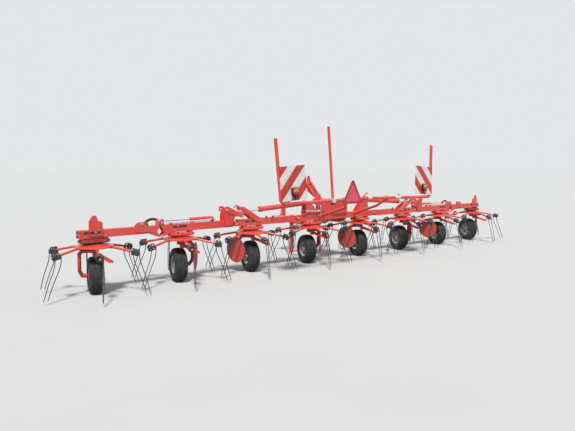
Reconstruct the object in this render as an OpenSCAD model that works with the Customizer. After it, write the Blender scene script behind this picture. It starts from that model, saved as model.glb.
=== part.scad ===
// Mounted eight-rotor hay tedder, standing on its gauge wheels and its front stand.
// Millimetres. +X is to the right of travel, +Y is forward, towards the tractor, and +Z is up.
// The rotor axes stand in one row along X. The origin is on the ground under the machine's middle.

/* [Layout] */
// Distance between neighbouring rotor axes
rotor_pitch = 1050; // [900:10:1200]
// How far each fold hinge lies outboard of the rotor inside it
hinge_out = 275; // [240:5:320]
// Turn of the headstock and of every wheel leg, clockwise from above, as set for a field border
oblique = 16; // [0:1:20]

/* [Beams] */
// Height of the beams' top face above the ground
beam_top = 712; // [660:1:760]
// Height of the square beam
beam_h = 86; // [60:1:110]
// Depth of the square beam, front to back
beam_d = 90; // [60:1:110]
// Wall of the beams
beam_wall = 8; // [5:0.5:12]
// Thickness of the beams' end plates
beam_cap = 12; // [8:1:20]
// Gap between a beam's end and its hinge pin
beam_setback = 45; // [40:1:60]
// Length of the outermost beam beyond its rotor axis
beam_tail = 175; // [120:5:200]

/* [Hinges] */
// Diameter of the fold hinge pins
pin_d = 30; // [20:1:40]
// Width of the tongue between the fork's cheeks
tongue_w = 60; // [40:1:70]
// Thickness of one fork cheek
cheek_t = 14; // [8:1:20]
// Outer radius of a tongue or cheek round its pin
knuckle_r = 32; // [26:1:40]
// Height of the outer fold pin
outer_pin_z = 740; // [725:1:760]
// Height of the middle float pin
mid_pin_z = 662; // [640:1:690]
// Height of the wing lift pin
wing_pin_z = 680; // [660:1:700]
// Running clearance on a radius
clear = 0.3; // [0.1:0.05:0.6]
// How much fuller a tube is at a bend, on its diameter
bend_swell = 0.8; // [0.4:0.1:2]

/* [Gearboxes] */
// Underside of the rotor gearboxes
box_z = 575; // [560:1:600]
// Height of a rotor gearbox
box_h = 36; // [28:1:40]
// Length of a rotor gearbox along the beam
box_l = 330; // [260:5:400]
// Width of a rotor gearbox, front to back
box_w = 190; // [150:5:230]
// Height of the middle gearbox
main_h = 200; // [160:5:240]
// Width of the middle gearbox
main_w = 290; // [220:5:340]
// Length of the middle gearbox, front to back
main_l = 250; // [200:5:300]
// Radius of the splined input shaft
input_r = 17.4; // [15:0.1:22]

/* [Rotors] */
// Number of tine arms on a rotor
arm_n = 6; // [4:1:8]
// Radius of the rotor dish
dish_r = 205; // [150:5:220]
// Gap between a rotor hub and the gearbox over it
hub_gap = 5; // [3:0.5:8]
// Diameter of a tine arm
arm_d = 27; // [20:1:34]
// Radius at which an arm bends down
arm_bend_r = 225; // [200:5:260]
// Radius of an arm's end
arm_tip_r = 505; // [460:5:540]
// Droop of the arms beyond the bend, in degrees
arm_droop = 11.5; // [0:0.5:20]

/* [Tines] */
// Wire diameter of the tines
wire_d = 9.5; // [7:0.5:12]
// Number of turns of one coil
coil_turns = 8; // [4:1:9]
// Outer diameter of a coil
coil_d = 80; // [50:1:90]
// Radius of the circle of the outer tine tips
tip_r = 610; // [560:5:640]
// Distance between a pair's two tips along the radius
tip_step = 45; // [30:5:80]
// Height of the tine tips above the ground
tip_z = 35; // [20:1:80]
// Turn of every rotor's first arm from +X
arm_phase = 15; // [0:1:60]

/* [Wheels] */
// Outer diameter of a tyre
tyre_d = 410; // [360:5:460]
// Width of a tyre
tyre_w = 165; // [140:1:220]
// Diameter of the rim at the tyre's bead
rim_d = 204; // [180:1:260]
// How far a wheel's centre runs ahead of its rotor axis
wheel_lead = 70; // [40:5:180]
// How far a wheel's centre lies to the side away from its leg
wheel_side = 14; // [0:2:90]
// Diameter of the stub axle
axle_d = 25; // [20:1:35]

/* [Legs] */
// Diameter of the leg tube
leg_d = 40; // [30:1:50]
// Radius of the leg's swivel post
post_r = 22; // [18:1:30]
// Sideways reach of the leg tube from the rotor axis
leg_reach = 152; // [130:2:200]
// Diameter of the round guard plate
guard_d = 340; // [280:5:380]
// Height of the guard plate's centre
guard_z = 300; // [260:5:340]
// Turn of the guard plate, front edge outward, in degrees
guard_toe = 24; // [0:1:30]
// Thickness of the guard plate
guard_t = 4; // [3:0.5:8]

/* [Lift cylinders] */
// Distance of the tower pin from the middle of the machine
tower_x = 600; // [520:5:680]
// Height of the tower pin
tower_z = 880; // [840:5:940]
// Distance of the rod's pin from the middle of the machine
lift_end_x = 1900; // [1860:5:1960]
// Height of the rod's pin
lift_end_z = 800; // [780:5:830]
// Diameter of the lift cylinder's barrel
lift_d = 68; // [50:1:80]
// Diameter of the lift cylinder's rod
lift_rod_d = 32; // [25:1:40]
// Length of the lift cylinder's barrel from its pin
lift_l = 850; // [700:10:900]
// Diameter of the pins at the cylinders' ends
eye_pin_d = 25; // [16:1:30]

/* [Fold cylinders] */
// How far the fold cylinder lies in front of the beam's middle
fold_y = 82; // [75:1:110]
// Height of the fold cylinder
fold_z = 748; // [735:1:770]
// Diameter of the fold cylinder's barrel
fold_d = 40; // [30:1:44]
// Diameter of the fold cylinder's rod
fold_rod_d = 20; // [14:1:24]
// Length of the fold cylinder's barrel
fold_l = 330; // [260:10:400]

/* [Headstock] */
// Distance of the headstock's swivel axis in front of the rotor axes
swivel_y = 400; // [360:5:460]
// Diameter of the headstock's swivel pins
swivel_d = 40; // [30:1:60]
// Distance between the two lower hitch shoulders
hitch_w = 825; // [683:1:965]
// Reach of the lower hitch pins in front of the swivel axis
hitch_y = 500; // [420:5:600]
// Height of the lower hitch pins
hitch_z = 590; // [500:5:640]
// Diameter of the lower hitch pins
hitch_pin_d = 28; // [22:0.5:37]
// Height of the top link hole over the lower hitch pins
mast_h = 610; // [560:5:685]
// Diameter of the top link hole
top_hole_d = 25.4; // [19:0.1:32]
// Diameter of the headstock's bent tubes
mast_d = 76; // [45:1:90]

/* [Stand] */
// Sideways place of the stand on the headstock
stand_x = -190; // [-260:5:-120]
// Side of the stand's square tube
stand_d = 50; // [40:1:60]
// Width of the stand's foot plate
foot_w = 160; // [120:5:220]

/* [Signs] */
// Height of the sign frame's bar over the ground at its middle
sign_z = 968; // [900:2:1010]
// Distance of the sign frame's bar behind the rotor axes
sign_y = 700; // [660:5:800]
// Sideways place of the sign frame's middle
sign_x = -150; // [-200:5:150]
// Half the width between the sign frame's posts
sign_half = 1500; // [1200:10:1550]
// How far the bar's ends hang below its middle
sign_sag = 24; // [0:2:60]
// Diameter of the sign frame's tube
sign_d = 44; // [34:1:54]
// Sideways place of the sign frame's stays at the beam
stay_x = 330; // [280:5:380]
// Half the distance between the pads of the stays
stay_pad_x = 430; // [380:5:480]
// Sideways place of the middle between the pads
stay_pad_mid = -90; // [-150:5:150]
// Wall of the sign frame's tubes
sign_wall = 3; // [2.5:0.5:6]
// Height of the sign frame's end posts over the bar
sign_post_h = 790; // [500:10:900]
// Lean of the end posts to the front, in millimetres over their height
sign_lean_y = 50; // [0:5:120]
// Lean of the end posts to the outside, in millimetres over their height
sign_lean_x = 56; // [0:5:120]
// Side of a warning board
board_w = 423; // [282:1:564]
// Side of the slow vehicle triangle
triangle_w = 365; // [350:1:410]
// How far the triangle lies to the left of the sign frame's middle
triangle_x = 270; // [240:5:300]
// Thickness of the boards and the triangle
board_t = 2; // [1.5:0.5:6]
// Width of a rear lamp
lamp_w = 110; // [80:2:140]
// Height of a lamp's middle over its board's lower edge
lamp_z = 105; // [70:5:160]

/* [Hidden] */
wing_x = rotor_pitch / 2 + hinge_out;
mid_x = wing_x + rotor_pitch;
outer_x = mid_x + rotor_pitch;
beam_bottom = beam_top - beam_h;
side_gap = 7;
beam_end_x = rotor_pitch * 3.5 + beam_tail;
box_top = box_z + box_h;
hub_top = box_z - hub_gap;
arm_z = hub_top - 38;
arm_run = arm_tip_r - arm_bend_r;
fork_y = tongue_w / 2 + 1;
hub_bottom = hub_top - 62;
leg_hub_z = hub_bottom - 5;
leg_top_z = leg_hub_z - 18;
wheel_r = tyre_d / 2;
coil_l = coil_turns * wire_d + 4;
coil_r = arm_tip_r - 10 - coil_l;
lift_run = lift_end_x - tower_x;
lift_drop = tower_z - lift_end_z;
lift_span = sqrt(lift_run * lift_run + lift_drop * lift_drop);
lift_tilt = atan2(lift_drop, lift_run);
fold_x = mid_x + 270;
fold_eye_x = outer_x - 70;
main_y = beam_d / 2 + clear;
main_z = 598;
main_top = main_z + main_h;
hood_top = 905;
upper_arm_z = 880;
lower_arm_z = 548;
arm_plate_t = 22;
mast_top_z = hitch_z + mast_h;
mast_top_y = 420;
stand_y = hitch_y + 24 + stand_d / 2 + 4;
half_front = swivel_y + (stand_y + foot_w / 2) * cos(oblique) + (foot_w / 2 - stand_x) * sin(oblique);
half_back = sign_y + 66;
centre_shift = (half_back - half_front) / 2;
red = [0.86, 0.16, 0.09];
dark_red = [0.62, 0.09, 0.06];
steel = [0.62, 0.64, 0.66];
chrome = [0.82, 0.83, 0.85];
tine_grey = [0.30, 0.33, 0.38];
rubber = [0.07, 0.07, 0.07];
rim_grey = [0.72, 0.73, 0.72];
$fn = 48;

// Puts the row of rotor axes at its place over the origin.
module placed() {
  translate([0, centre_shift, 0]) children();
}

// Mirrors a piece drawn for the right wing onto the wing of that side.
module sided(side) {
  mirror([side < 0 ? 1 : 0, 0, 0]) children();
}

// The axis of rotor i, counted from the left.
module at_rotor(i) {
  translate([(i - 4.5) * rotor_pitch, 0, 0]) children();
}

// A round bar from p to q.
module bar(p, q, d) {
  v = q - p;
  translate(p)
    rotate([0, acos(v[2] / norm(v)), atan2(v[1], v[0])])
      cylinder(d = d, h = norm(v));
}

// A round bar through a list of points, with a slightly fuller ball at each bend, its poles along the bar.
module bent_bar(points, d) {
  for (k = [0 : len(points) - 2]) bar(points[k], points[k + 1], d);
  for (k = [1 : len(points) - 2]) {
    a = points[k] - points[k - 1];
    b = points[k + 1] - points[k];
    v = a / norm(a) + b / norm(b);
    translate(points[k]) rotate([0, acos(v[2] / norm(v)), atan2(v[1], v[0])]) sphere(d = d + bend_swell);
  }
}

// The bore inside a tube's straight run from p to q, closed before each end.
module tube_bore(p, q, d, wall) {
  v = q - p;
  u = v / norm(v);
  bar(p + u * d * 0.9, q - u * d * 0.9, d - 2 * wall);
}

// A plate in the XZ plane, t thick, centred on y.
module plate_xz(points, y, t) {
  translate([0, y + t / 2, 0]) rotate([90, 0, 0]) linear_extrude(t) polygon(points);
}

// A plate in the YZ plane, t thick, centred on x. Its points are [y, z].
module plate_yz(points, x, t) {
  translate([x - t / 2, 0, 0]) rotate([90, 0, 90]) linear_extrude(t) polygon(points);
}

// A cylinder along Y from y0 to y1.
module along_y(x, z, y0, y1, d) {
  translate([x, y1, z]) rotate([90, 0, 0]) cylinder(d = d, h = y1 - y0);
}

// A square tube from x0 to x1, closed by a plate at each end.
module beam(x0, x1) {
  translate([x0, -beam_d / 2, beam_bottom]) difference() {
    cube([x1 - x0, beam_d, beam_h]);
    translate([beam_cap, beam_wall, beam_wall])
      cube([x1 - x0 - 2 * beam_cap, beam_d - 2 * beam_wall, beam_h - 2 * beam_wall]);
  }
}

// A flat gearbox under the beam, hung from it by two pads, with the bore for the leg's post.
module rotor_gearbox(x) {
  translate([x, 0, 0]) difference() {
    union() {
      for (s = [-1, 1]) {
        translate([s * (box_l - box_w) / 2, 0, box_z]) cylinder(d = box_w, h = box_h - 6);
        translate([s * (box_l - box_w) / 2, 0, box_top - 6]) cylinder(d1 = box_w, d2 = box_w - 30, h = 6);
        translate([s * (box_l / 2 - 42) - 22, -beam_d / 2 + 5, box_top - 8])
          cube([44, beam_d - 10, beam_bottom - box_top + 9]);
      }
      translate([-(box_l - box_w) / 2, -box_w / 2, box_z]) cube([box_l - box_w, box_w, box_h - 6]);
    }
    translate([0, 0, box_z - 1]) cylinder(r = post_r + clear, h = box_h - 8);
  }
}

// Two fork cheeks round a pin at (x, z), rooted on the beam that ends at x - dir * beam_setback.
module fork(x, z, dir) {
  root = x - dir * beam_setback;
  inner = root - dir * 95;
  for (s = [-1, 1]) {
    along_y(x, z, s > 0 ? fork_y : -fork_y - cheek_t, s > 0 ? fork_y + cheek_t : -fork_y, 2 * knuckle_r);
    plate_xz([[inner, beam_bottom + 8], [root, beam_bottom + 4], [x + dir * 10, z - knuckle_r + 2],
      [x + dir * 14, z], [x, z + knuckle_r - 3], [root - dir * 10, min(z + 14, beam_top)], [inner, beam_top - 8]],
      s * (fork_y + cheek_t / 2), cheek_t);
  }
  along_y(x, z, -fork_y - cheek_t - 8, fork_y + cheek_t + 8, pin_d);
}

// A tongue round a pin at (x, z), rooted on the beam that starts at x + dir * beam_setback.
module tongue(x, z, dir) {
  root = x + dir * beam_setback;
  difference() {
    union() {
      along_y(x, z, -tongue_w / 2, tongue_w / 2, 2 * knuckle_r - 4);
      plate_xz([[x, z - knuckle_r + 4], [root + dir * 4, beam_bottom + 10],
        [root + dir * 4, beam_top - 2], [x, z + knuckle_r - 4]], 0, tongue_w);
    }
    along_y(x, z, -tongue_w, tongue_w, pin_d + 2 * clear);
  }
}

// A gusset under a beam's end that points at the hinge's foot.
module gusset(root, foot, depth) {
  for (s = [-1, 1])
    plate_xz([[root, beam_bottom + 4], [root + (root - foot) * 3.2, beam_bottom + 4], [foot, beam_bottom - depth],
      [foot, beam_bottom - depth + 14]], s * (beam_d / 2 - 6), 8);
}

// The bracket over the mid hinge that the lift cylinder's rod pulls.
module lift_bracket() {
  for (s = [-1, 1]) {
    difference() {
      plate_xz([[mid_x + 60, beam_bottom + 24], [mid_x + 178, beam_bottom + 24], [mid_x + 178, beam_top + 70],
        [mid_x + 160, beam_top + 118], [mid_x + 120, beam_top + 118], [lift_end_x + 30, lift_end_z + 36],
        [lift_end_x - 22, lift_end_z + 32], [lift_end_x - 32, lift_end_z + 8], [lift_end_x - 26, lift_end_z - 30]],
        s * (beam_d / 2 + side_gap + 5), 10);
      along_y(lift_end_x, lift_end_z, -beam_d, beam_d, eye_pin_d + 1);
    }
    translate([mid_x + 70, s > 0 ? beam_d / 2 - 2 : -beam_d / 2 - side_gap - 2, beam_bottom + 30])
      cube([98, side_gap + 4, 40]);
  }
}

// The upright catch plate at the outer rotor's axis.
module catch_plate(x) {
  plate_xz([[x - 75, beam_bottom + 20], [x + 75, beam_bottom + 20], [x + 75, beam_top + 95],
    [x + 35, beam_top + 155], [x - 5, beam_top + 155], [x - 25, beam_top + 100], [x - 75, beam_top + 80]],
    -beam_d / 2 - side_gap - 5, 10);
  translate([x - 60, -beam_d / 2 - side_gap - 2, beam_bottom + 30]) cube([120, side_gap + 4, 34]);
}

// The outer section of a wing, beyond the outer fold hinge.
module outer_beam() {
  beam(outer_x + beam_setback, beam_end_x);
  tongue(outer_x, outer_pin_z, 1);
  gusset(outer_x + beam_setback, outer_x + 9, 55);
  rotor_gearbox(rotor_pitch * 3.5);
  catch_plate(rotor_pitch * 3.5);
  plate_xz([[outer_x + 120, beam_bottom + 24], [outer_x + 330, beam_bottom + 24], [outer_x + 330, beam_top + 24],
    [outer_x + 290, beam_top + 52], [outer_x + 190, beam_top + 52]], -beam_d / 2 - 4, 8);
  for (z = [beam_bottom + 22, beam_top - 22]) translate([beam_end_x, 0, z]) rotate([0, 90, 0]) cylinder(d = 24, h = 12);
}

// The middle section of a wing, between the outer fold hinge and the mid float hinge.
module mid_beam() {
  beam(mid_x + beam_setback, outer_x - beam_setback);
  fork(outer_x, outer_pin_z, 1);
  gusset(outer_x - beam_setback, outer_x - 9, 55);
  tongue(mid_x, mid_pin_z, 1);
  rotor_gearbox(rotor_pitch * 2.5);
  lift_bracket();
  fold_barrel();
}

// The fold cylinder's barrel on its two brackets in front of the middle beam.
module fold_barrel() {
  difference() {
    union() {
      translate([fold_x, fold_y, fold_z]) rotate([0, 90, 0]) cylinder(d = fold_d, h = fold_l);
      for (x = [fold_x + 10, fold_x + fold_l - 34])
        translate([x, beam_d / 2 - 6, beam_top - 30]) cube([24, fold_y - beam_d / 2 + 12, fold_z - beam_top + 26]);
    }
    translate([fold_x + 30, fold_y, fold_z]) rotate([0, 90, 0]) cylinder(d = fold_rod_d + 2 * clear, h = fold_l);
  }
}

// The inner section of a wing, between the mid float hinge and the wing lift hinge.
module inner_beam() {
  beam(wing_x + beam_setback, mid_x - beam_setback);
  fork(mid_x, mid_pin_z, 1);
  tongue(wing_x, wing_pin_z, 1);
  rotor_gearbox(rotor_pitch * 1.5);
}

// The rod of a fold cylinder, with the eye at the outer fold hinge.
module fold_rod() {
  bar([fold_x + fold_l - 70, fold_y, fold_z], [fold_eye_x - 12, fold_y, fold_z], fold_rod_d);
  difference() {
    along_y(fold_eye_x, fold_z, fold_y - 14, fold_y + 14, 44);
    along_y(fold_eye_x, fold_z, fold_y - 20, fold_y + 20, eye_pin_d - 5);
  }
}

// The lift cylinder in its own line, from the tower pin at the origin along +X.
module lift_line() {
  translate([tower_x, 0, tower_z]) rotate([0, lift_tilt, 0]) children();
}

module lift_barrel() {
  lift_line() difference() {
    union() {
      translate([45, 0, 0]) rotate([0, 90, 0]) cylinder(d = lift_d, h = lift_l - 45);
      translate([lift_l - 40, 0, 0]) rotate([0, 90, 0]) cylinder(d = lift_d + 10, h = 40);
      along_y(0, 0, -24, 24, 56);
      translate([0, -20, -20]) cube([60, 40, 40]);
    }
    along_y(0, 0, -30, 30, eye_pin_d + 2 * clear);
    translate([90, 0, 0]) rotate([0, 90, 0]) cylinder(d = lift_rod_d + 2 * clear, h = lift_l);
  }
}

module lift_rod() {
  lift_line() difference() {
    union() {
      translate([lift_l - 290, 0, 0]) rotate([0, 90, 0]) cylinder(d = lift_rod_d, h = lift_span - lift_l + 280);
      along_y(lift_span, 0, -22, 22, 52);
    }
    along_y(lift_span, 0, -30, 30, eye_pin_d + 1);
  }
}

// The bent leg of a gauge wheel, with its swivel post, its tube, its stub axle and its two wrap guard bars.
// side is the side of the wheel on which the tube runs.
module leg(i, side, guard) {
  tube_x = side * leg_reach;
  low_x = side * (leg_reach - 30);
  wheel_x = -side * wheel_side;
  placed() at_rotor(i) rotate([0, 0, -oblique]) {
    color(red) {
      translate([0, 0, leg_top_z - 20]) cylinder(r = post_r, h = box_top - 10 - leg_top_z + 20);
      translate([0, 0, leg_top_z - 22]) cylinder(d = 96, h = 40);
      bent_bar([[0, 0, leg_top_z - 2], [tube_x - side * 24, 16, leg_top_z - 6], [tube_x, 26, leg_top_z - 34],
        [tube_x, wheel_lead - 28, wheel_r + 60], [low_x, wheel_lead, wheel_r], [low_x - side * 10, wheel_lead, wheel_r]],
        leg_d);
      bar([low_x, wheel_lead, wheel_r], [wheel_x - side * 62, wheel_lead, wheel_r], axle_d);
      translate([side * (tyre_w / 2 - wheel_side + 8), wheel_lead, wheel_r]) rotate([0, side * 90, 0])
        cylinder(d = 46, h = low_x * side - (tyre_w / 2 - wheel_side + 8));
      translate([-26, -70, leg_top_z - 62]) cube([52, 10, 50]);
      translate([-20, -66, leg_top_z - 22]) cube([40, 40, 12]);
      for (u = [-14, 14]) plate_bar([u - 6, -28, leg_top_z - 16], [u + 150, -250, leg_top_z - 96], 6, 26);
      if (guard) guard_plate(side);
    }
  }
}

// A flat bar on edge from p to q, t thick and h high.
module plate_bar(p, q, t, h) {
  v = q - p;
  translate(p)
    rotate([0, 0, atan2(v[1], v[0])])
      rotate([0, -atan2(v[2], norm([v[0], v[1]])), 0])
        translate([0, -t / 2, -h / 2])
          cube([norm(v), t, h]);
}

// The round guard plate outside the leg tube, on a short arm from it.
module guard_plate(side) {
  translate([side * (leg_reach + 44), 62, guard_z]) rotate([0, 0, -side * guard_toe]) {
    rotate([0, 90, 0]) translate([0, 0, -guard_t / 2]) cylinder(d = guard_d, h = guard_t);
    translate([-side * 17, -39, 0]) cube([36, 30, 36], center = true);
  }
}

// Rotor hub, dish and arms. All rotors stand at one phase, so each reaches into its neighbours' gaps.
module rotor(i) {
  placed() at_rotor(i) color(red) rotate([0, 0, arm_phase]) {
    difference() {
      union() {
        rotate_extrude() polygon([[0, hub_bottom], [46, hub_bottom], [58, hub_bottom + 12], [58, hub_top - 22],
          [dish_r - 12, hub_top - 40], [dish_r, hub_top - 46], [dish_r, hub_top - 34], [dish_r - 10, hub_top - 25],
          [74, hub_top - 4], [52, hub_top], [0, hub_top]]);
        for (k = [0 : arm_n - 1]) rotate([0, 0, k * 360 / arm_n]) arm();
      }
      translate([0, 0, hub_bottom - 1]) cylinder(r = post_r + clear, h = hub_top - hub_bottom + 2);
    }
  }
}

// One tine arm, straight under the dish and drooping beyond its bend.
module arm() {
  bent_bar([[38, 0, arm_z - 3], [arm_bend_r, 0, arm_z - 8],
    [arm_tip_r, 0, arm_z - 8 - arm_run * tan(arm_droop)]], arm_d);
}

// The coils and tines of one rotor.
module tine_set(i) {
  placed() at_rotor(i) color(tine_grey) rotate([0, 0, arm_phase])
    for (k = [0 : arm_n - 1]) rotate([0, 0, k * 360 / arm_n]) tine_pair();
}

// One coil round an arm's end, and its two tines.
module tine_pair() {
  tip_end_z = arm_z - 8 - arm_run * tan(arm_droop);
  translate([arm_bend_r, 0, arm_z - 8]) rotate([0, arm_droop, 0])
    translate([(coil_r - arm_bend_r) / cos(arm_droop), 0, 0]) rotate([0, 90, 0]) difference() {
      rotate_extrude() polygon(coil_profile());
      translate([0, 0, -1]) cylinder(d = arm_d + 2 * clear, h = coil_l + 2);
    }
  for (e = [0, 1]) {
    root_r = coil_r + 8 + e * (coil_l - 16);
    foot_r = tip_r - (1 - e) * tip_step;
    bent_bar([[root_r, coil_d / 2 - wire_d / 2, tip_end_z + 8], [root_r + 26, coil_d / 2 - 8, tip_end_z - 150],
      [foot_r, coil_d / 2 - 30, tip_z + wire_d / 2]], wire_d);
    translate([foot_r, coil_d / 2 - 30, tip_z + wire_d / 2]) sphere(d = wire_d + bend_swell / 2);
  }
}

// The outline of a coil: one ridge a turn.
function coil_profile() = concat(
  [[0, 0], [coil_d / 2 - wire_d / 2, 0]],
  [for (k = [0 : coil_turns - 1]) each [[coil_d / 2, 2 + (k + 0.5) * wire_d], [coil_d / 2 - wire_d * 0.4, 2 + (k + 1) * wire_d]]],
  [[coil_d / 2 - wire_d / 2, coil_l], [0, coil_l]]);

// A gauge wheel's own line: its axle's middle, with +Z along the axle.
module at_wheel(i, side) {
  placed() at_rotor(i) rotate([0, 0, -oblique])
    translate([-side * wheel_side, wheel_lead, wheel_r]) rotate([0, 90, 0]) children();
}

module tyre(i, side) {
  half = tyre_w / 2;
  bead = rim_d / 2 + 0.3;
  at_wheel(i, side) color(rubber) rotate_extrude()
    polygon([[bead, -half + 28], [bead + 14, -half + 12], [bead + 48, -half], [wheel_r - 32, -half + 2],
      [wheel_r - 9, -half + 16], [wheel_r - 3, -half + 30], [wheel_r - 12, -half + 33], [wheel_r - 12, -half + 40],
      [wheel_r, -half + 43], [wheel_r, -12], [wheel_r - 10, -9], [wheel_r - 10, 9], [wheel_r, 12],
      [wheel_r, half - 43], [wheel_r - 12, half - 40], [wheel_r - 12, half - 33], [wheel_r - 3, half - 30],
      [wheel_r - 9, half - 16], [wheel_r - 32, half - 2], [bead + 48, half], [bead + 14, half - 12],
      [bead, half - 28]]);
}

module rim(i, side) {
  half = tyre_w / 2;
  r = rim_d / 2;
  at_wheel(i, side) color(rim_grey) rotate_extrude()
    polygon([[axle_d / 2 + clear, -half + 26], [26, -half + 26], [26, -10], [r - 22, -16], [r - 12, -half + 34],
      [r - 6, -half + 28], [r, -half + 28], [r, half - 28], [r - 6, half - 28], [r - 12, half - 34], [r - 22, 0],
      [26, 8], [26, half - 26], [axle_d / 2 + clear, half - 26]]);
}

// The middle frame: the short beam over rotors 4 and 5, its forks, towers, swivel arms and hood.
module centre_frame() {
  placed() color(red) {
    beam(-wing_x + beam_setback, wing_x - beam_setback);
    for (s = [-1, 1]) sided(s) {
      fork(wing_x, wing_pin_z, 1);
      rotor_gearbox(rotor_pitch / 2);
      tower();
    }
    swivel_arms();
    hood();
    sign_stays();
  }
}

// The tower that holds a lift cylinder's barrel.
module tower() {
  for (s = [-1, 1])
    plate_xz([[tower_x - 210, beam_top - 30], [tower_x + 60, beam_top - 30], [tower_x + 34, tower_z],
      [tower_x + 20, tower_z + 30], [tower_x - 24, tower_z + 30], [tower_x - 60, tower_z - 10]], s * (beam_d / 2 + 4), 12);
  along_y(tower_x, tower_z, -beam_d / 2 - 16, beam_d / 2 + 16, eye_pin_d);
}

// The two arms with the pins on which the headstock swivels.
module swivel_arms() {
  for (z = [lower_arm_z, upper_arm_z]) {
    translate([0, swivel_y, z]) cylinder(d = 90, h = arm_plate_t);
    for (s = [-1, 1]) linear_plate(s, z);
  }
  translate([0, swivel_y, lower_arm_z - 60]) cylinder(d = swivel_d, h = 62);
  translate([0, swivel_y, upper_arm_z]) cylinder(d = swivel_d, h = 92);
  for (s = [-1, 1]) {
    plate_yz([[-beam_d / 2 - 4, beam_bottom - 20], [beam_d / 2 + 30, lower_arm_z], [swivel_y - 60, lower_arm_z],
      [swivel_y - 60, lower_arm_z + arm_plate_t], [beam_d / 2 + 60, beam_bottom + 20], [beam_d / 2, beam_top - 10],
      [-beam_d / 2 - 4, beam_top - 10]], s * (main_w / 2 + 14), 12);
    plate_yz([[-60, beam_top - 20], [beam_d / 2, beam_top - 20], [main_l + beam_d / 2, main_top + 24],
      [swivel_y - 60, upper_arm_z], [swivel_y - 60, upper_arm_z + arm_plate_t], [-60, upper_arm_z + arm_plate_t]],
      s * (main_w / 2 + 14), 12);
  }
}

// One half of a swivel arm's flat plate, from the side plate to the pin.
module linear_plate(s, z) {
  translate([0, 0, z]) linear_extrude(arm_plate_t)
    polygon([[0, swivel_y - 90], [s * (main_w / 2 + 8), swivel_y - 150], [s * (main_w / 2 + 20), swivel_y - 60],
      [s * 40, swivel_y + 20], [0, swivel_y + 20]]);
}

// The rounded hood over the middle gearbox.
module hood() {
  hood_w = main_w / 2 + 16;
  difference() {
    intersection() {
      translate([-hood_w, -beam_d / 2 - 30, beam_top - 2]) cube([2 * hood_w, swivel_y - 120 + beam_d / 2, hood_top - beam_top]);
      translate([0, -beam_d, hood_top - 300]) rotate([-90, 0, 0]) cylinder(r = 300, h = swivel_y + beam_d);
    }
    translate([-hood_w + 12, beam_d / 2, beam_top - 20]) cube([2 * hood_w - 24, swivel_y, main_top + 8 - beam_top + 20]);
  }
}

// The two stays that carry the sign frame behind the beam.
module sign_stays() {
  pad_y = -sign_y + sign_d / 2 + clear;
  for (s = [-1, 1]) {
    pad_x = stay_pad_mid + s * stay_pad_x;
    difference() {
      bent_bar([[s * stay_x, -beam_d / 2 + 6, beam_top - 30], [s * stay_x, -sign_y + 190, sign_z - 130],
        [pad_x, pad_y + 10, sign_z - 24]], 40);
      tube_bore([s * stay_x, -beam_d / 2 + 6, beam_top - 30], [s * stay_x, -sign_y + 190, sign_z - 130], 40, sign_wall);
    }
    translate([pad_x - 35, pad_y, sign_z - 50]) cube([70, 16, 70]);
  }
}

module main_gearbox() {
  placed() color(dark_red) {
    translate([-main_w / 2, main_y, main_z]) cube([main_w, main_l, main_h]);
    translate([0, main_y + main_l - 2, 700]) rotate([-90, 0, 0]) cylinder(d = 170, h = 24);
    translate([0, main_y + main_l + 20, 700]) rotate([-90, 0, 0]) cylinder(r = input_r, h = 95);
    for (s = [-1, 1]) translate([s * (main_w / 2 - 1), main_y + main_l / 2, 690]) rotate([0, s * 90, 0]) cylinder(d = 120, h = 4);
  }
}

// The sign frame: a bar in two halves, two leaning end posts and one inner post.
module sign_frame() {
  end_z = sign_z - sign_sag;
  placed() translate([sign_x, -sign_y, 0]) color(red) difference() {
    union() {
      for (s = [-1, 1])
        bent_bar([[s * 12, 0, sign_z], [s * (sign_half - 46), 0, end_z], [s * sign_half, 3, end_z + 46],
          [s * (sign_half + sign_lean_x), sign_lean_y, end_z + sign_post_h]], sign_d);
      translate([-45, 0, sign_z]) rotate([0, 90, 0]) cylinder(d = sign_d + 12, h = 90);
      bar([-620, 0, sign_z - 6], [-670, 54, sign_z + 950], 36);
    }
    for (s = [-1, 1]) {
      tube_bore([s * 30, 0, sign_z], [s * (sign_half - 46), 0, end_z], sign_d, sign_wall);
      tube_bore([s * sign_half, 3, end_z + 46], [s * (sign_half + sign_lean_x), sign_lean_y, end_z + sign_post_h],
        sign_d, sign_wall);
    }
    tube_bore([-620, 0, sign_z + 10], [-670, 54, sign_z + 950], 36, sign_wall);
  }
}

// A board's own place: on the inside of an end post, leaning with it.
module at_board(s) {
  end_z = sign_z - sign_sag;
  translate([sign_x + s * (sign_half + 4 + sign_lean_x * 0.1), -sign_y - sign_d / 2 + 6, end_z + sign_d / 2 + 6])
    rotate([-atan2(sign_lean_y, sign_post_h), s * atan2(sign_lean_x, sign_post_h), 0]) children();
}

module sign_boards() {
  placed() {
    color([0.93, 0.93, 0.91]) for (s = [-1, 1]) at_board(s)
      translate([s > 0 ? -sign_d / 2 - board_w + 20 : sign_d / 2 - 20, -board_t - 4.8, 0]) cube([board_w, board_t, board_w]);
    color([0.86, 0.12, 0.10]) translate([sign_x - triangle_x, -sign_y - sign_d / 2 - clear, sign_z - 62])
      plate_xz([[-triangle_w / 2 + 16, 0], [triangle_w / 2 - 16, 0], [triangle_w / 2, 28], [20, triangle_w * 0.866 - 4],
        [-20, triangle_w * 0.866 - 4], [-triangle_w / 2, 28]], -board_t / 2, board_t);
  }
}

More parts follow.
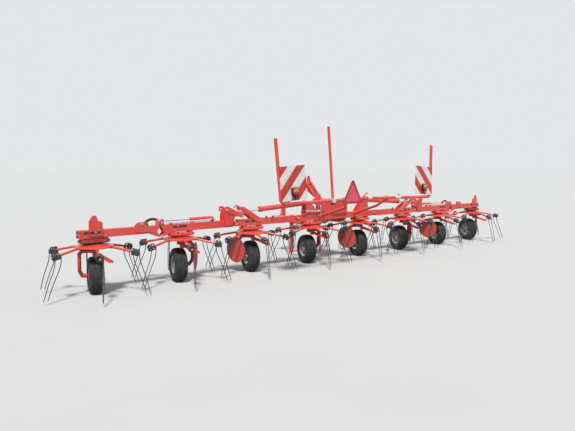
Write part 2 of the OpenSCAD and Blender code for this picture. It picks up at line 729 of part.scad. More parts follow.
module lamps() {
  placed() color([0.75, 0.1, 0.05]) for (s = [-1, 1]) at_board(s)
    translate([s * (-sign_d / 2 - board_w * 0.5 + 20), -board_t - 5.1, lamp_z]) rotate([90, 0, 0]) {
      difference() {
        union() {
          translate([-lamp_w / 2, -lamp_w / 2, 0]) cube([lamp_w, lamp_w, 28]);
          translate([0, 0, 27]) cylinder(d = lamp_w - 16, h = 16);
        }
        translate([-lamp_w / 2 + 4, -lamp_w / 2 + 4, 4]) cube([lamp_w - 8, lamp_w - 8, 20]);
        translate([0, 0, 23]) cylinder(d = lamp_w - 24, h = 16);
      }
    }
}

// The headstock's own place: its swivel axis, turned with the tractor.
module at_headstock() {
  placed() translate([0, swivel_y, 0]) rotate([0, 0, -oblique]) children();
}

module headstock() {
  half = hitch_w / 2;
  at_headstock() color(red) difference() {
    union() {
      for (z = [[lower_arm_z - 58, lower_arm_z - 3], [upper_arm_z + arm_plate_t + 3, upper_arm_z + 88]])
        translate([0, 0, z[0]]) cylinder(d = 84, h = z[1] - z[0]);
      for (s = [-1, 1]) {
        bent_bar([[s * (half - 50), hitch_y, hitch_z - 90], [s * (half - 50), hitch_y, hitch_z + 170],
          [s * 62, mast_top_y - 20, mast_top_z - 84]], mast_d);
        bent_bar([[s * 30, 0, lower_arm_z - 30], [s * 200, 240, lower_arm_z - 40], [s * (half - 50), hitch_y, hitch_z - 60]], 57);
        hitch_ear(s);
        plate_yz([[-30, upper_arm_z + 40], [mast_top_y - 90, mast_top_z - 60], [mast_top_y - 32, mast_top_z + 38],
          [mast_top_y + 32, mast_top_z + 38], [mast_top_y + 50, mast_top_z - 10], [mast_top_y + 42, mast_top_z - 110],
          [mast_top_y - 30, mast_top_z - 160], [30, upper_arm_z + 30]], s * 42, 12);
      }
      bar([-half + 50, hitch_y, hitch_z - 70], [half - 50, hitch_y, hitch_z - 70], 52);
      translate([stand_x - stand_d / 2 - 7, stand_y - stand_d / 2 - 7, hitch_z - 130])
        cube([stand_d + 14, stand_d + 14, 128]);
      bar([-42, mast_top_y - 30, mast_top_z - 90], [42, mast_top_y - 30, mast_top_z - 90], 40);
    }
    for (z = [lower_arm_z - 70, upper_arm_z]) translate([0, 0, z]) cylinder(d = swivel_d + 2 * clear, h = 100);
    along_x(-100, 100, mast_top_y, mast_top_z, top_hole_d);
    translate([stand_x, stand_y, 0]) translate([-stand_d / 2 - clear, -stand_d / 2 - clear, hitch_z - 200])
      cube([stand_d + 2 * clear, stand_d + 2 * clear, 400]);
  }
}

module along_x(x0, x1, y, z, d) {
  translate([x0, y, z]) rotate([0, 90, 0]) cylinder(d = d, h = x1 - x0);
}

// A lower hitch ear with its pin.
module hitch_ear(s) {
  half = hitch_w / 2;
  translate([s * (half - 16), 0, 0])
    plate_yz([[hitch_y - 50, hitch_z - 110], [hitch_y + 30, hitch_z - 110], [hitch_y + 48, hitch_z - 30],
      [hitch_y + 48, hitch_z + 34], [hitch_y - 40, hitch_z + 60], [hitch_y - 60, hitch_z]], 0, 16);
  sx = s > 0 ? half - 20 : -half - 130;
  along_x(sx, sx + 150, hitch_y + 8, hitch_z, hitch_pin_d);
}

// The parking stand: a square leg that slides up in its sleeve on the cross tube.
module parking_stand() {
  at_headstock() translate([stand_x, stand_y, 0]) color(red) {
    translate([-stand_d / 2, -stand_d / 2, 6]) cube([stand_d, stand_d, hitch_z + 10]);
    translate([-foot_w / 2, -foot_w / 2, 0]) cube([foot_w, foot_w, 8]);
  }
}

// Leg table, one row a rotor: [side of the tube, has a guard plate], from the left.
LEGS = [[-1, false], [1, true], [-1, true], [1, true], [-1, true], [1, true], [-1, true], [1, false]];

module beam_1() { placed() sided(-1) color(red) outer_beam(); }
module beam_2() { placed() sided(-1) color(red) mid_beam(); }
module beam_3() { placed() sided(-1) color(red) inner_beam(); }
module beam_6() { placed() sided(1) color(red) inner_beam(); }
module beam_7() { placed() sided(1) color(red) mid_beam(); }
module beam_8() { placed() sided(1) color(red) outer_beam(); }
module lift_barrel_left() { placed() sided(-1) color(red) lift_barrel(); }
module lift_barrel_right() { placed() sided(1) color(red) lift_barrel(); }
module lift_rod_left() { placed() sided(-1) color(chrome) lift_rod(); }
module lift_rod_right() { placed() sided(1) color(chrome) lift_rod(); }
module fold_rod_left() { placed() sided(-1) color(chrome) fold_rod(); }
module fold_rod_right() { placed() sided(1) color(chrome) fold_rod(); }
module leg_1() { leg(1, LEGS[0][0], LEGS[0][1]); }
module leg_2() { leg(2, LEGS[1][0], LEGS[1][1]); }
module leg_3() { leg(3, LEGS[2][0], LEGS[2][1]); }
module leg_4() { leg(4, LEGS[3][0], LEGS[3][1]); }
module leg_5() { leg(5, LEGS[4][0], LEGS[4][1]); }
module leg_6() { leg(6, LEGS[5][0], LEGS[5][1]); }
module leg_7() { leg(7, LEGS[6][0], LEGS[6][1]); }
module leg_8() { leg(8, LEGS[7][0], LEGS[7][1]); }
module rotor_1() { rotor(1); }
module rotor_2() { rotor(2); }
module rotor_3() { rotor(3); }
module rotor_4() { rotor(4); }
module rotor_5() { rotor(5); }
module rotor_6() { rotor(6); }
module rotor_7() { rotor(7); }
module rotor_8() { rotor(8); }
module tines_1() { tine_set(1); }
module tines_2() { tine_set(2); }
module tines_3() { tine_set(3); }
module tines_4() { tine_set(4); }
module tines_5() { tine_set(5); }
module tines_6() { tine_set(6); }
module tines_7() { tine_set(7); }
module tines_8() { tine_set(8); }
module tyre_1() { tyre(1, LEGS[0][0]); }
module tyre_2() { tyre(2, LEGS[1][0]); }
module tyre_3() { tyre(3, LEGS[2][0]); }
module tyre_4() { tyre(4, LEGS[3][0]); }
module tyre_5() { tyre(5, LEGS[4][0]); }
module tyre_6() { tyre(6, LEGS[5][0]); }
module tyre_7() { tyre(7, LEGS[6][0]); }
module tyre_8() { tyre(8, LEGS[7][0]); }
module rim_1() { rim(1, LEGS[0][0]); }
module rim_2() { rim(2, LEGS[1][0]); }
module rim_3() { rim(3, LEGS[2][0]); }
module rim_4() { rim(4, LEGS[3][0]); }
module rim_5() { rim(5, LEGS[4][0]); }
module rim_6() { rim(6, LEGS[5][0]); }
module rim_7() { rim(7, LEGS[6][0]); }
module rim_8() { rim(8, LEGS[7][0]); }

centre_frame();
main_gearbox();
sign_frame();
sign_boards();
lamps();
headstock();
parking_stand();
beam_1();
beam_2();
beam_3();
beam_6();
beam_7();
beam_8();
lift_barrel_left();
lift_rod_left();
lift_barrel_right();
lift_rod_right();
fold_rod_left();
fold_rod_right();
leg_1();
leg_2();
leg_3();
leg_4();
leg_5();
leg_6();
leg_7();
leg_8();
rotor_1();
rotor_2();
rotor_3();
rotor_4();
rotor_5();
rotor_6();
rotor_7();
rotor_8();
tines_1();
tines_2();
tines_3();
tines_4();
tines_5();
tines_6();
tines_7();
tines_8();
tyre_1();
tyre_2();
tyre_3();
tyre_4();
tyre_5();
tyre_6();
tyre_7();
tyre_8();
rim_1();
rim_2();
rim_3();
rim_4();
rim_5();
rim_6();
rim_7();
rim_8();
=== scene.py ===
"""Looks of the mounted eight-rotor hay tedder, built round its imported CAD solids.

Metres, +X to the right of travel, +Y forward, +Z up. Most places are given from the
rotor axes, which stand in one row at Y = 0, and row() moves them into the shared frame.
What is the same on both wings is given for the right wing and mirrored to the left.
"""
import math

import bmesh
import bpy
from mathutils import Matrix, Vector


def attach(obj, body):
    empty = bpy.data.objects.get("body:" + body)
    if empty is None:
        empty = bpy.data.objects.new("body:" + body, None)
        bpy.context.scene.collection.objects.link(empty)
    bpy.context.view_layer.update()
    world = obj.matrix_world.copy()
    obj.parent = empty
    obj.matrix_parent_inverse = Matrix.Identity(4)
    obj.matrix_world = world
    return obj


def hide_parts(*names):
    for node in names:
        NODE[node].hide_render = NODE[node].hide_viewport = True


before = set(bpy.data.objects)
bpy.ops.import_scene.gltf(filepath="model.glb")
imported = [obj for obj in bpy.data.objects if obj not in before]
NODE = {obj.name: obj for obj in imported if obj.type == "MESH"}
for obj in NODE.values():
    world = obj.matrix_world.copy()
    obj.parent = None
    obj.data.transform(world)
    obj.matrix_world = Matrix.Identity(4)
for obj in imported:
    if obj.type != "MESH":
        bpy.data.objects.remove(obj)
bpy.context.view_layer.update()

# ------------------------------------------------------------------ the part's own measures
# Layout: rotor spacing, the turn of headstock and wheel legs, swivel axis, lower hitch pins
PITCH = 1.05
OBLIQUE = math.radians(16)
SWIVEL_Y = 0.400
HITCH_Y, HITCH_Z = 0.500, 0.590
# Parking stand and the side of its foot plate
STAND_X, STAND_Y, FOOT = -0.190, HITCH_Y + 0.053, 0.160
# Sign frame: the bar's middle, the end posts' lean and height, the bar's half length, sag and diameter,
# how far the frame counts to the rear of the bar, and where the bar's slope starts and ends
SIGN_X, SIGN_Y, SIGN_Z = -0.150, 0.700, 0.968
LEAN_X, LEAN_Y, POST_H = 0.056, 0.050, 0.790
SIGN_HALF, SIGN_SAG, SIGN_D = 1.500, 0.024, 0.044
SIGN_REACH = 0.066
BAR_START, BAR_END = 0.012, 0.046
# Warning boards, lamps and the slow vehicle triangle
BOARD, BOARD_Z, BOARD_X = 0.423, 1.1981, (-1.4616, 1.1616)
LAMP_Z = 0.105
TRIANGLE_W, TRIANGLE_X = 0.365, 0.270
# Beams: height of the top, section, length past the outer rotor, the plates welded beside them
BEAM_TOP, BEAM_H, BEAM_D = 0.712, 0.086, 0.090
BEAM_BOTTOM = BEAM_TOP - BEAM_H
REAR = -BEAM_D / 2
BEAM_TAIL = 0.175
SIDE_GAP, PLATE_T = 0.007, 0.010
# Rotor gearboxes, and the middle one's rear face, its length and its shaft boss
BOX_Z, BOX_H, BOX_L, BOX_W = 0.575, 0.036, 0.330, 0.190
MAIN_REAR, MAIN_L, BOSS_L = 0.0453, 0.250, 0.022
# Hinges: their places along X, their pins' heights, the pins' half lengths, and radii of all the pins
WING_X = PITCH / 2 + 0.275
MID_X = WING_X + PITCH
OUTER_X = MID_X + PITCH
OUTER_PIN_Z, MID_PIN_Z, WING_PIN_Z = 0.740, 0.662, 0.680
PIN_HALF, TOWER_PIN_HALF = 0.053, 0.061
PIN_R, EYE_PIN_R, SWIVEL_R, HITCH_R = 0.015, 0.0125, 0.020, 0.014
# Underside and top of the swivel arms, and the headstock's side that the lower hitch pins stand out of
SWIVEL_LOW_Z, SWIVEL_TOP_Z, HEAD_SIDE = 0.548, 0.902, 0.405
# Cylinders: the tower's pin, and the places and radii of the lift rod's and the fold rod's eye
TOWER_X, TOWER_Z = 0.600, 0.880
LIFT_X, LIFT_Z = 1.900, 0.800
FOLD_X, FOLD_Z = OUTER_X - 0.070, 0.748
LIFT_EYE_R, FOLD_EYE_R = 0.028, 0.024
# Rotors and tines
DISH_R = 0.205
ARM_Z = BOX_Z - 0.005 - 0.038
ARM_DROP = 0.008
BEND_R, ARM_TIP_R, DROOP = 0.225, 0.505, math.radians(11.5)
ARM_PHASE = math.radians(15)
COIL_D, WIRE, COIL_L = 0.080, 0.0095, 0.080
TIP_R, TIP_STEP, TIP_Z = 0.610, 0.045, 0.035
# Wheels and the round guard plates
WHEEL_LEAD, WHEEL_SIDE, WHEEL_R, TYRE_W, RIM_R = 0.070, 0.014, 0.205, 0.165, 0.102
GUARD_X, GUARD_Y, GUARD_Z, GUARD_R, GUARD_TOE = 0.196, 0.062, 0.300, 0.170, math.radians(24)

# The machine's middle along Y lies half way between the sign frame's back and the foot's front corner.
FRONT = SWIVEL_Y + (STAND_Y + FOOT / 2) * math.cos(OBLIQUE) + (FOOT / 2 - STAND_X) * math.sin(OBLIQUE)
SHIFT = (SIGN_Y + SIGN_REACH - FRONT) / 2

# Per rotor, from left to right: the side its leg stands on, whether it has a guard, its body, its X
SIDE = [-1, 1, -1, 1, -1, 1, -1, 1]
GUARD = [False, True, True, True, True, True, True, False]
OWNER = ["section_1", "section_2", "section_3", "frame", "frame", "section_6", "section_7", "section_8"]
ROTOR_X = [(i - 3.5) * PITCH for i in range(8)]
OUTER_ROTOR_X = PITCH * 3.5

UP = Vector((0, 0, 1))
REARWARD = (0, -1, 0)
SIDES = ((-1, "left"), (1, "right"))


def row(x, y, z):
    """A point given from the rotor axes, in the shared frame."""
    return Vector((x, y + SHIFT, z))


def turned(origin, yaw):
    """The place at origin, turned clockwise from above by yaw."""
    return Matrix.Translation(origin) @ Matrix.Rotation(-yaw, 4, "Z")


def along(origin, direction):
    """The place at origin whose Z runs along direction."""
    return Matrix.Translation(origin) @ UP.rotation_difference(direction).to_matrix().to_4x4()


# ------------------------------------------------------------------ shader nodes
def nodes_of(name):
    """A new material, its node tree and its shader."""
    m = bpy.data.materials.new(name)
    m.use_nodes = True
    t = m.node_tree
    return m, t, t.nodes["Principled BSDF"]


def add_node(t, kind, **settings):
    """A new node with those settings."""
    n = t.nodes.new(kind)
    for k, v in settings.items():
        setattr(n, k, v)
    return n


def feed(t, socket, value):
    """Links a socket to value, or sets it to value if that is a number or a colour."""
    if isinstance(value, tuple):
        socket.default_value = (*value, 1)
    elif isinstance(value, (int, float)):
        socket.default_value = value
    else:
        t.links.new(value, socket)


def maths(t, operation, *values):
    """The result of one step of arithmetic on sockets and numbers."""
    m = add_node(t, "ShaderNodeMath", operation=operation)
    for socket, value in zip(m.inputs, values):
        feed(t, socket, value)
    return m.outputs[0]


def remap(t, value, low=0.0, high=1.0, to_low=0.0, to_high=1.0):
    """The value's range low to high moved to to_low to to_high, and held there."""
    r = add_node(t, "ShaderNodeMapRange")
    for name, end in (("From Min", low), ("From Max", high), ("To Min", to_low), ("To Max", to_high)):
        r.inputs[name].default_value = end
    t.links.new(value, r.inputs["Value"])
    return r.outputs["Result"]


def noise_mask(t, scale, low, high, detail=4.0):
    """A soft patchy mask from 0 to 1."""
    co = add_node(t, "ShaderNodeTexCoord")
    n = add_node(t, "ShaderNodeTexNoise")
    n.inputs["Scale"].default_value = scale
    n.inputs["Detail"].default_value = detail
    t.links.new(co.outputs["Object"], n.inputs["Vector"])
    return remap(t, n.outputs["Fac"], low, high)


def mixed(t, mask, a, b):
    """The colour a where the mask is 0 and b where it is 1."""
    m = add_node(t, "ShaderNodeMix", data_type="RGBA")
    feed(t, m.inputs[6], a)
    feed(t, m.inputs[7], b)
    t.links.new(mask, m.inputs[0])
    return m.outputs[2]


def upward(t, low, high):
    """A mask of what faces up, where dust settles."""
    g = add_node(t, "ShaderNodeNewGeometry")
    s = add_node(t, "ShaderNodeSeparateXYZ")
    t.links.new(g.outputs["Normal"], s.inputs[0])
    return remap(t, s.outputs["Z"], low, high)


def bump(t, b, height, strength, distance):
    """Roughens a shader by a height mask."""
    n = add_node(t, "ShaderNodeBump")
    n.inputs["Strength"].default_value = strength
    n.inputs["Distance"].default_value = distance
    t.links.new(height, n.inputs["Height"])
    t.links.new(n.outputs["Normal"], b.inputs["Normal"])


# ------------------------------------------------------------------ kinds of surface
def painted(name, base, faded, dirt=(0.33, 0.27, 0.20), dirt_share=0.35, rough=0.36):
    """Old machine paint: faded in patches, dusty on top, with fine grain."""
    m, t, b = nodes_of(name)
    fade = mixed(t, noise_mask(t, 3.5, 0.35, 0.75), base, faded)
    on_top = maths(t, "MULTIPLY", upward(t, 0.2, 0.95), noise_mask(t, 14.0, 0.42, 0.74, 6.0))
    dust = maths(t, "MULTIPLY", on_top, dirt_share)
    grime = maths(t, "MULTIPLY", noise_mask(t, 38.0, 0.62, 0.78, 7.0), dirt_share * 0.8)
    col = mixed(t, dust, fade, dirt)
    col = mixed(t, grime, col, tuple(c * 0.45 for c in dirt))
    t.links.new(col, b.inputs["Base Color"])
    uneven = remap(t, noise_mask(t, 9.0, 0.3, 0.8, 5.0), to_low=rough - 0.06, to_high=rough + 0.26)
    t.links.new(uneven, b.inputs["Roughness"])
    b.inputs["Coat Weight"].default_value = 0.45
    b.inputs["Coat Roughness"].default_value = 0.16
    bump(t, b, noise_mask(t, 220.0, 0.3, 0.7, 2.0), 0.10, 0.0006)
    return m


def metal(name, base, second, rough, metallic=1.0):
    """Bare or plated metal in two tones, with uneven gloss."""
    m, t, b = nodes_of(name)
    t.links.new(mixed(t, noise_mask(t, 30.0, 0.35, 0.7, 6.0), base, second), b.inputs["Base Color"])
    b.inputs["Metallic"].default_value = metallic
    uneven = remap(t, noise_mask(t, 18.0, 0.3, 0.8), to_low=rough, to_high=min(1.0, rough + 0.2))
    t.links.new(uneven, b.inputs["Roughness"])
    bump(t, b, noise_mask(t, 260.0, 0.3, 0.7, 3.0), 0.12, 0.0004)
    return m


def rubber(name, base=(0.026, 0.028, 0.030), dust=(0.15, 0.15, 0.14), share=0.42):
    """Matt rubber or plastic, dusty in patches."""
    m, t, b = nodes_of(name)
    mask = maths(t, "MULTIPLY", noise_mask(t, 16.0, 0.38, 0.78, 7.0), share)
    t.links.new(mixed(t, mask, base, dust), b.inputs["Base Color"])
    b.inputs["Roughness"].default_value = 0.82
    bump(t, b, noise_mask(t, 320.0, 0.3, 0.7, 2.0), 0.25, 0.0005)
    return m


def muddy(name, base, mud, share):
    """Paint that crop juice and dried mud have dulled in blotches."""
    m, t, b = nodes_of(name)
    blotch = noise_mask(t, 5.0, 0.36, 0.66, 5.0)
    grain = noise_mask(t, 60.0, 0.30, 0.75, 6.0)
    both = maths(t, "MULTIPLY_ADD", blotch, share, maths(t, "MULTIPLY", grain, share * 0.35))
    t.links.new(mixed(t, both, base, mud), b.inputs["Base Color"])
    b.inputs["Roughness"].default_value = 0.55
    bump(t, b, grain, 0.15, 0.0008)
    return m


def striped(name, s):
    """Red and white slanted stripes on the board of side s, with a dull reflex film.

    A stripe runs where across * X + rise * Z is level, and the board's middle lies on an edge.
    """
    across, rise, width = s * 1.068, 0.927, 0.141
    middle = across * BOARD_X[s > 0] + rise * BOARD_Z
    m, t, b = nodes_of(name)
    co = add_node(t, "ShaderNodeTexCoord")
    place = add_node(t, "ShaderNodeSeparateXYZ")
    t.links.new(co.outputs["Object"], place.inputs[0])
    x = maths(t, "MULTIPLY_ADD", place.outputs["X"], across, -middle)
    level = maths(t, "MULTIPLY_ADD", place.outputs["Z"], rise, x)
    pair = maths(t, "FRACT", maths(t, "DIVIDE", level, width * 2))
    white = maths(t, "GREATER_THAN", pair, 0.5)
    col = mixed(t, white, (0.62, 0.025, 0.018), (0.86, 0.86, 0.83))
    dull = maths(t, "MULTIPLY", noise_mask(t, 20.0, 0.45, 0.8, 6.0), 0.35)
    t.links.new(mixed(t, dull, col, (0.36, 0.32, 0.27)), b.inputs["Base Color"])
    b.inputs["Roughness"].default_value = 0.33
    bump(t, b, noise_mask(t, 500.0, 0.4, 0.6, 1.0), 0.08, 0.0003)
    return m


RED = painted("red_paint", (0.80, 0.052, 0.034), (0.84, 0.105, 0.078), dirt_share=0.22, rough=0.30)
DARK_RED = painted("dark_red_paint", (0.40, 0.030, 0.016), (0.50, 0.055, 0.03))
WORN_RED = muddy("worn_red_paint", (0.34, 0.040, 0.032), (0.16, 0.070, 0.060), 0.55)
GUARD_RED = muddy("muddy_guard", (0.88, 0.080, 0.060), (0.36, 0.17, 0.14), 0.40)
BLACK = painted("black_paint", (0.018, 0.018, 0.020), (0.045, 0.044, 0.045), (0.16, 0.14, 0.11), rough=0.5)
CAST = metal("cast_iron", (0.10, 0.10, 0.11), (0.05, 0.05, 0.055), 0.55, 0.6)
STEEL = metal("zinc_steel", (0.55, 0.56, 0.58), (0.33, 0.33, 0.34), 0.32)
CHROME = metal("rod_chrome", (0.80, 0.81, 0.83), (0.62, 0.63, 0.66), 0.10)
TINE = metal("tine_steel", (0.052, 0.060, 0.080), (0.12, 0.125, 0.14), 0.38, 0.35)
RIM = painted("rim_paint", (0.55, 0.56, 0.55), (0.42, 0.42, 0.41), (0.28, 0.24, 0.18), 0.5, 0.45)
TYRE = rubber("tyre_rubber")
HOSE = rubber("hose_rubber", (0.015, 0.015, 0.017), (0.07, 0.065, 0.06), 0.25)
LENS = painted("lamp_lens", (0.45, 0.015, 0.010), (0.60, 0.03, 0.02), dirt_share=0.12, rough=0.2)
AMBER = painted("lamp_amber", (0.75, 0.22, 0.02), (0.80, 0.30, 0.04), dirt_share=0.12, rough=0.2)
HOUSING = rubber("lamp_housing", (0.02, 0.02, 0.022), (0.10, 0.09, 0.08), 0.25)
BOARD_LEFT = striped("board_left", -1)
BOARD_RIGHT = striped("board_right", 1)
BOARD_BACK = painted("board_back", (0.62, 0.62, 0.60), (0.52, 0.52, 0.50), dirt_share=0.4, rough=0.5)
PINK = painted("slow_triangle", (0.80, 0.075, 0.105), (0.86, 0.13, 0.16), dirt_share=0.15, rough=0.4)
PINK_EDGE = painted("triangle_edge", (0.42, 0.012, 0.020), (0.50, 0.03, 0.03), dirt_share=0.15, rough=0.35)
WHITE = painted("white_plastic", (0.78, 0.78, 0.75), (0.68, 0.68, 0.66), dirt_share=0.3, rough=0.45)


# ------------------------------------------------------------------ materials of the CAD solids
def cover(node, *materials):
    """Gives a CAD node these materials, in their order."""
    data = NODE[node].data
    data.materials.clear()
    for m in materials:
        data.materials.append(m)


def choose(node, rule):
    """Gives each face of a CAD node the index of its material by the face's middle and normal."""
    for p in NODE[node].data.polygons:
        p.material_index = rule(p.center, p.normal)


def near(c, x, y, z, axis, radius):
    """True if c lies within radius of the line through (x, y, z), from the rotor axes, along axis."""
    d = c - row(x, y, z)
    a = Vector(axis)
    return (d - a * d.dot(a)).length < radius


def round_y(c, x, z, radius):
    """True if c lies within radius of the line along Y at that x and z."""
    return near(c, x, 0, z, (0, 1, 0), radius)


def hinge_end(c, x, z):
    """True on the ends of the hinge pin at that x and z, where they stand out of the fork."""
    return round_y(c, x, z, PIN_R + 0.001) and abs(c.y - SHIFT) > BEAM_D / 2 + 0.0004


def beam_rule(pins):
    """A wing's beam: 1 the ends of its hinge pins, 2 the plugs at its tip, 3 the outer gearbox, 0 the rest."""
    def rule(c, normal):
        if abs(c.x) > OUTER_ROTOR_X + BEAM_TAIL + 0.0005:
            return 2
        if (c.z < BEAM_BOTTOM - 0.001 and abs(abs(c.x) - OUTER_ROTOR_X) < BOX_L / 2 + 0.02
                and abs(c.z - BOX_Z) < 0.045):
            return 3
        return int(any(hinge_end(c, x, z) for x, z in pins))
    return rule


def centre_rule(c, normal):
    """The middle frame: 1 its wing, tower and swivel pins, 0 the rest."""
    past_arms = c.z < SWIVEL_LOW_Z - 0.0005 or c.z > SWIVEL_TOP_Z + 0.0005
    swivel = near(c, 0, SWIVEL_Y, 0, UP, SWIVEL_R + 0.0005) and past_arms
    return int(swivel or any(hinge_end(c, s * WING_X, WING_PIN_Z) or
                             round_y(c, s * TOWER_X, TOWER_Z, EYE_PIN_R + 0.001) for s in (-1, 1)))


INTO_HEAD = turned(row(0, SWIVEL_Y, 0), OBLIQUE).inverted()


def headstock_rule(c, normal):
    """The headstock: 1 the lower hitch pins, 0 the rest."""
    p = INTO_HEAD @ c
    on_pin = (p - Vector((p.x, HITCH_Y + 0.008, HITCH_Z))).length < HITCH_R + 0.0005
    return int(abs(p.x) > HEAD_SIDE and on_pin)


def gearbox_rule(c, normal):
    """The middle gearbox: 1 the input shaft, 2 its boss, 0 the housing."""
    front = c.y - SHIFT - MAIN_REAR - MAIN_L
    return 1 if front > BOSS_L + 0.0005 else 2 if front > 0.0005 else 0


def dish_shade_rule(x):
    """A rotor: 1 the underside and low sides of its dish, given black paint that is mostly painted shade and partly
    grease, 0 the rest.
    """
    def rule(c, normal):
        below = normal.z < -0.5 or c.z < BOX_Z - 0.053
        return int(below and (c - row(x, 0, c.z)).length < DISH_R + 0.0015)
    return rule


def guard_rule(i):
    """A leg: 1 the faces of its round guard plate, 0 the rest."""
    middle = turned(row(ROTOR_X[i], 0, 0), OBLIQUE) @ Vector((SIDE[i] * GUARD_X, GUARD_Y, GUARD_Z))
    face = turned(Vector((0, 0, 0)), OBLIQUE + GUARD_TOE * SIDE[i]).to_3x3() @ Vector((1, 0, 0))

    def rule(c, normal):
        d = c - middle
        return int(d.length < GUARD_R + 0.002 and abs(d.dot(face)) < 0.006 and abs(normal.dot(face)) > 0.6)
    return rule


STARTS = (("tines", TINE), ("tyre", TYRE), ("rim", RIM), ("lift_rod", CHROME), ("fold_rod", CHROME))
for n in NODE:
    cover(n, next((m for start, m in STARTS if n.startswith(start)), RED))
cover("sign_boards", BOARD_LEFT, BOARD_RIGHT, PINK_EDGE, BOARD_BACK)
choose("sign_boards", lambda c, normal: 3 if normal.y > 0.5 else 0 if c.x < -1.1 else 1 if c.x > 0.9 else 2)
cover("lamps", HOUSING)
for s, outer, middle, inner in ((-1, "beam_1", "beam_2", "beam_3"), (1, "beam_8", "beam_7", "beam_6")):
    for n, pins in ((outer, ()), (middle, [(s * OUTER_X, OUTER_PIN_Z)]), (inner, [(s * MID_X, MID_PIN_Z)])):
        cover(n, RED, STEEL, BLACK, WORN_RED)
        choose(n, beam_rule(pins))
cover("centre_frame", RED, STEEL)
choose("centre_frame", centre_rule)
cover("headstock", RED, STEEL)
choose("headstock", headstock_rule)
cover("main_gearbox", DARK_RED, STEEL, CAST)
choose("main_gearbox", gearbox_rule)
for i in range(8):
    # The black on each dish's underside is painted shade, with some grease.
    cover(f"rotor_{i + 1}", RED, BLACK)
    choose(f"rotor_{i + 1}", dish_shade_rule(ROTOR_X[i]))
    if GUARD[i]:
        cover(f"leg_{i + 1}", RED, GUARD_RED)
        choose(f"leg_{i + 1}", guard_rule(i))
for s, side in SIDES:
    cover(f"lift_rod_{side}", CHROME, RED)
    choose(f"lift_rod_{side}", lambda c, normal: int(round_y(c, s * LIFT_X, LIFT_Z, LIFT_EYE_R)))
    cover(f"fold_rod_{side}", CHROME, RED)
    choose(f"fold_rod_{side}", lambda c, normal: int(round_y(c, s * FOLD_X, FOLD_Z, FOLD_EYE_R)))


# ------------------------------------------------------------------ mesh building
def circle(radius, z, steps):
    """A level ring of points round the Z axis."""
    angles = (2 * math.pi * k / steps for k in range(steps))
    return [(radius * math.cos(a), radius * math.sin(a), z) for a in angles]


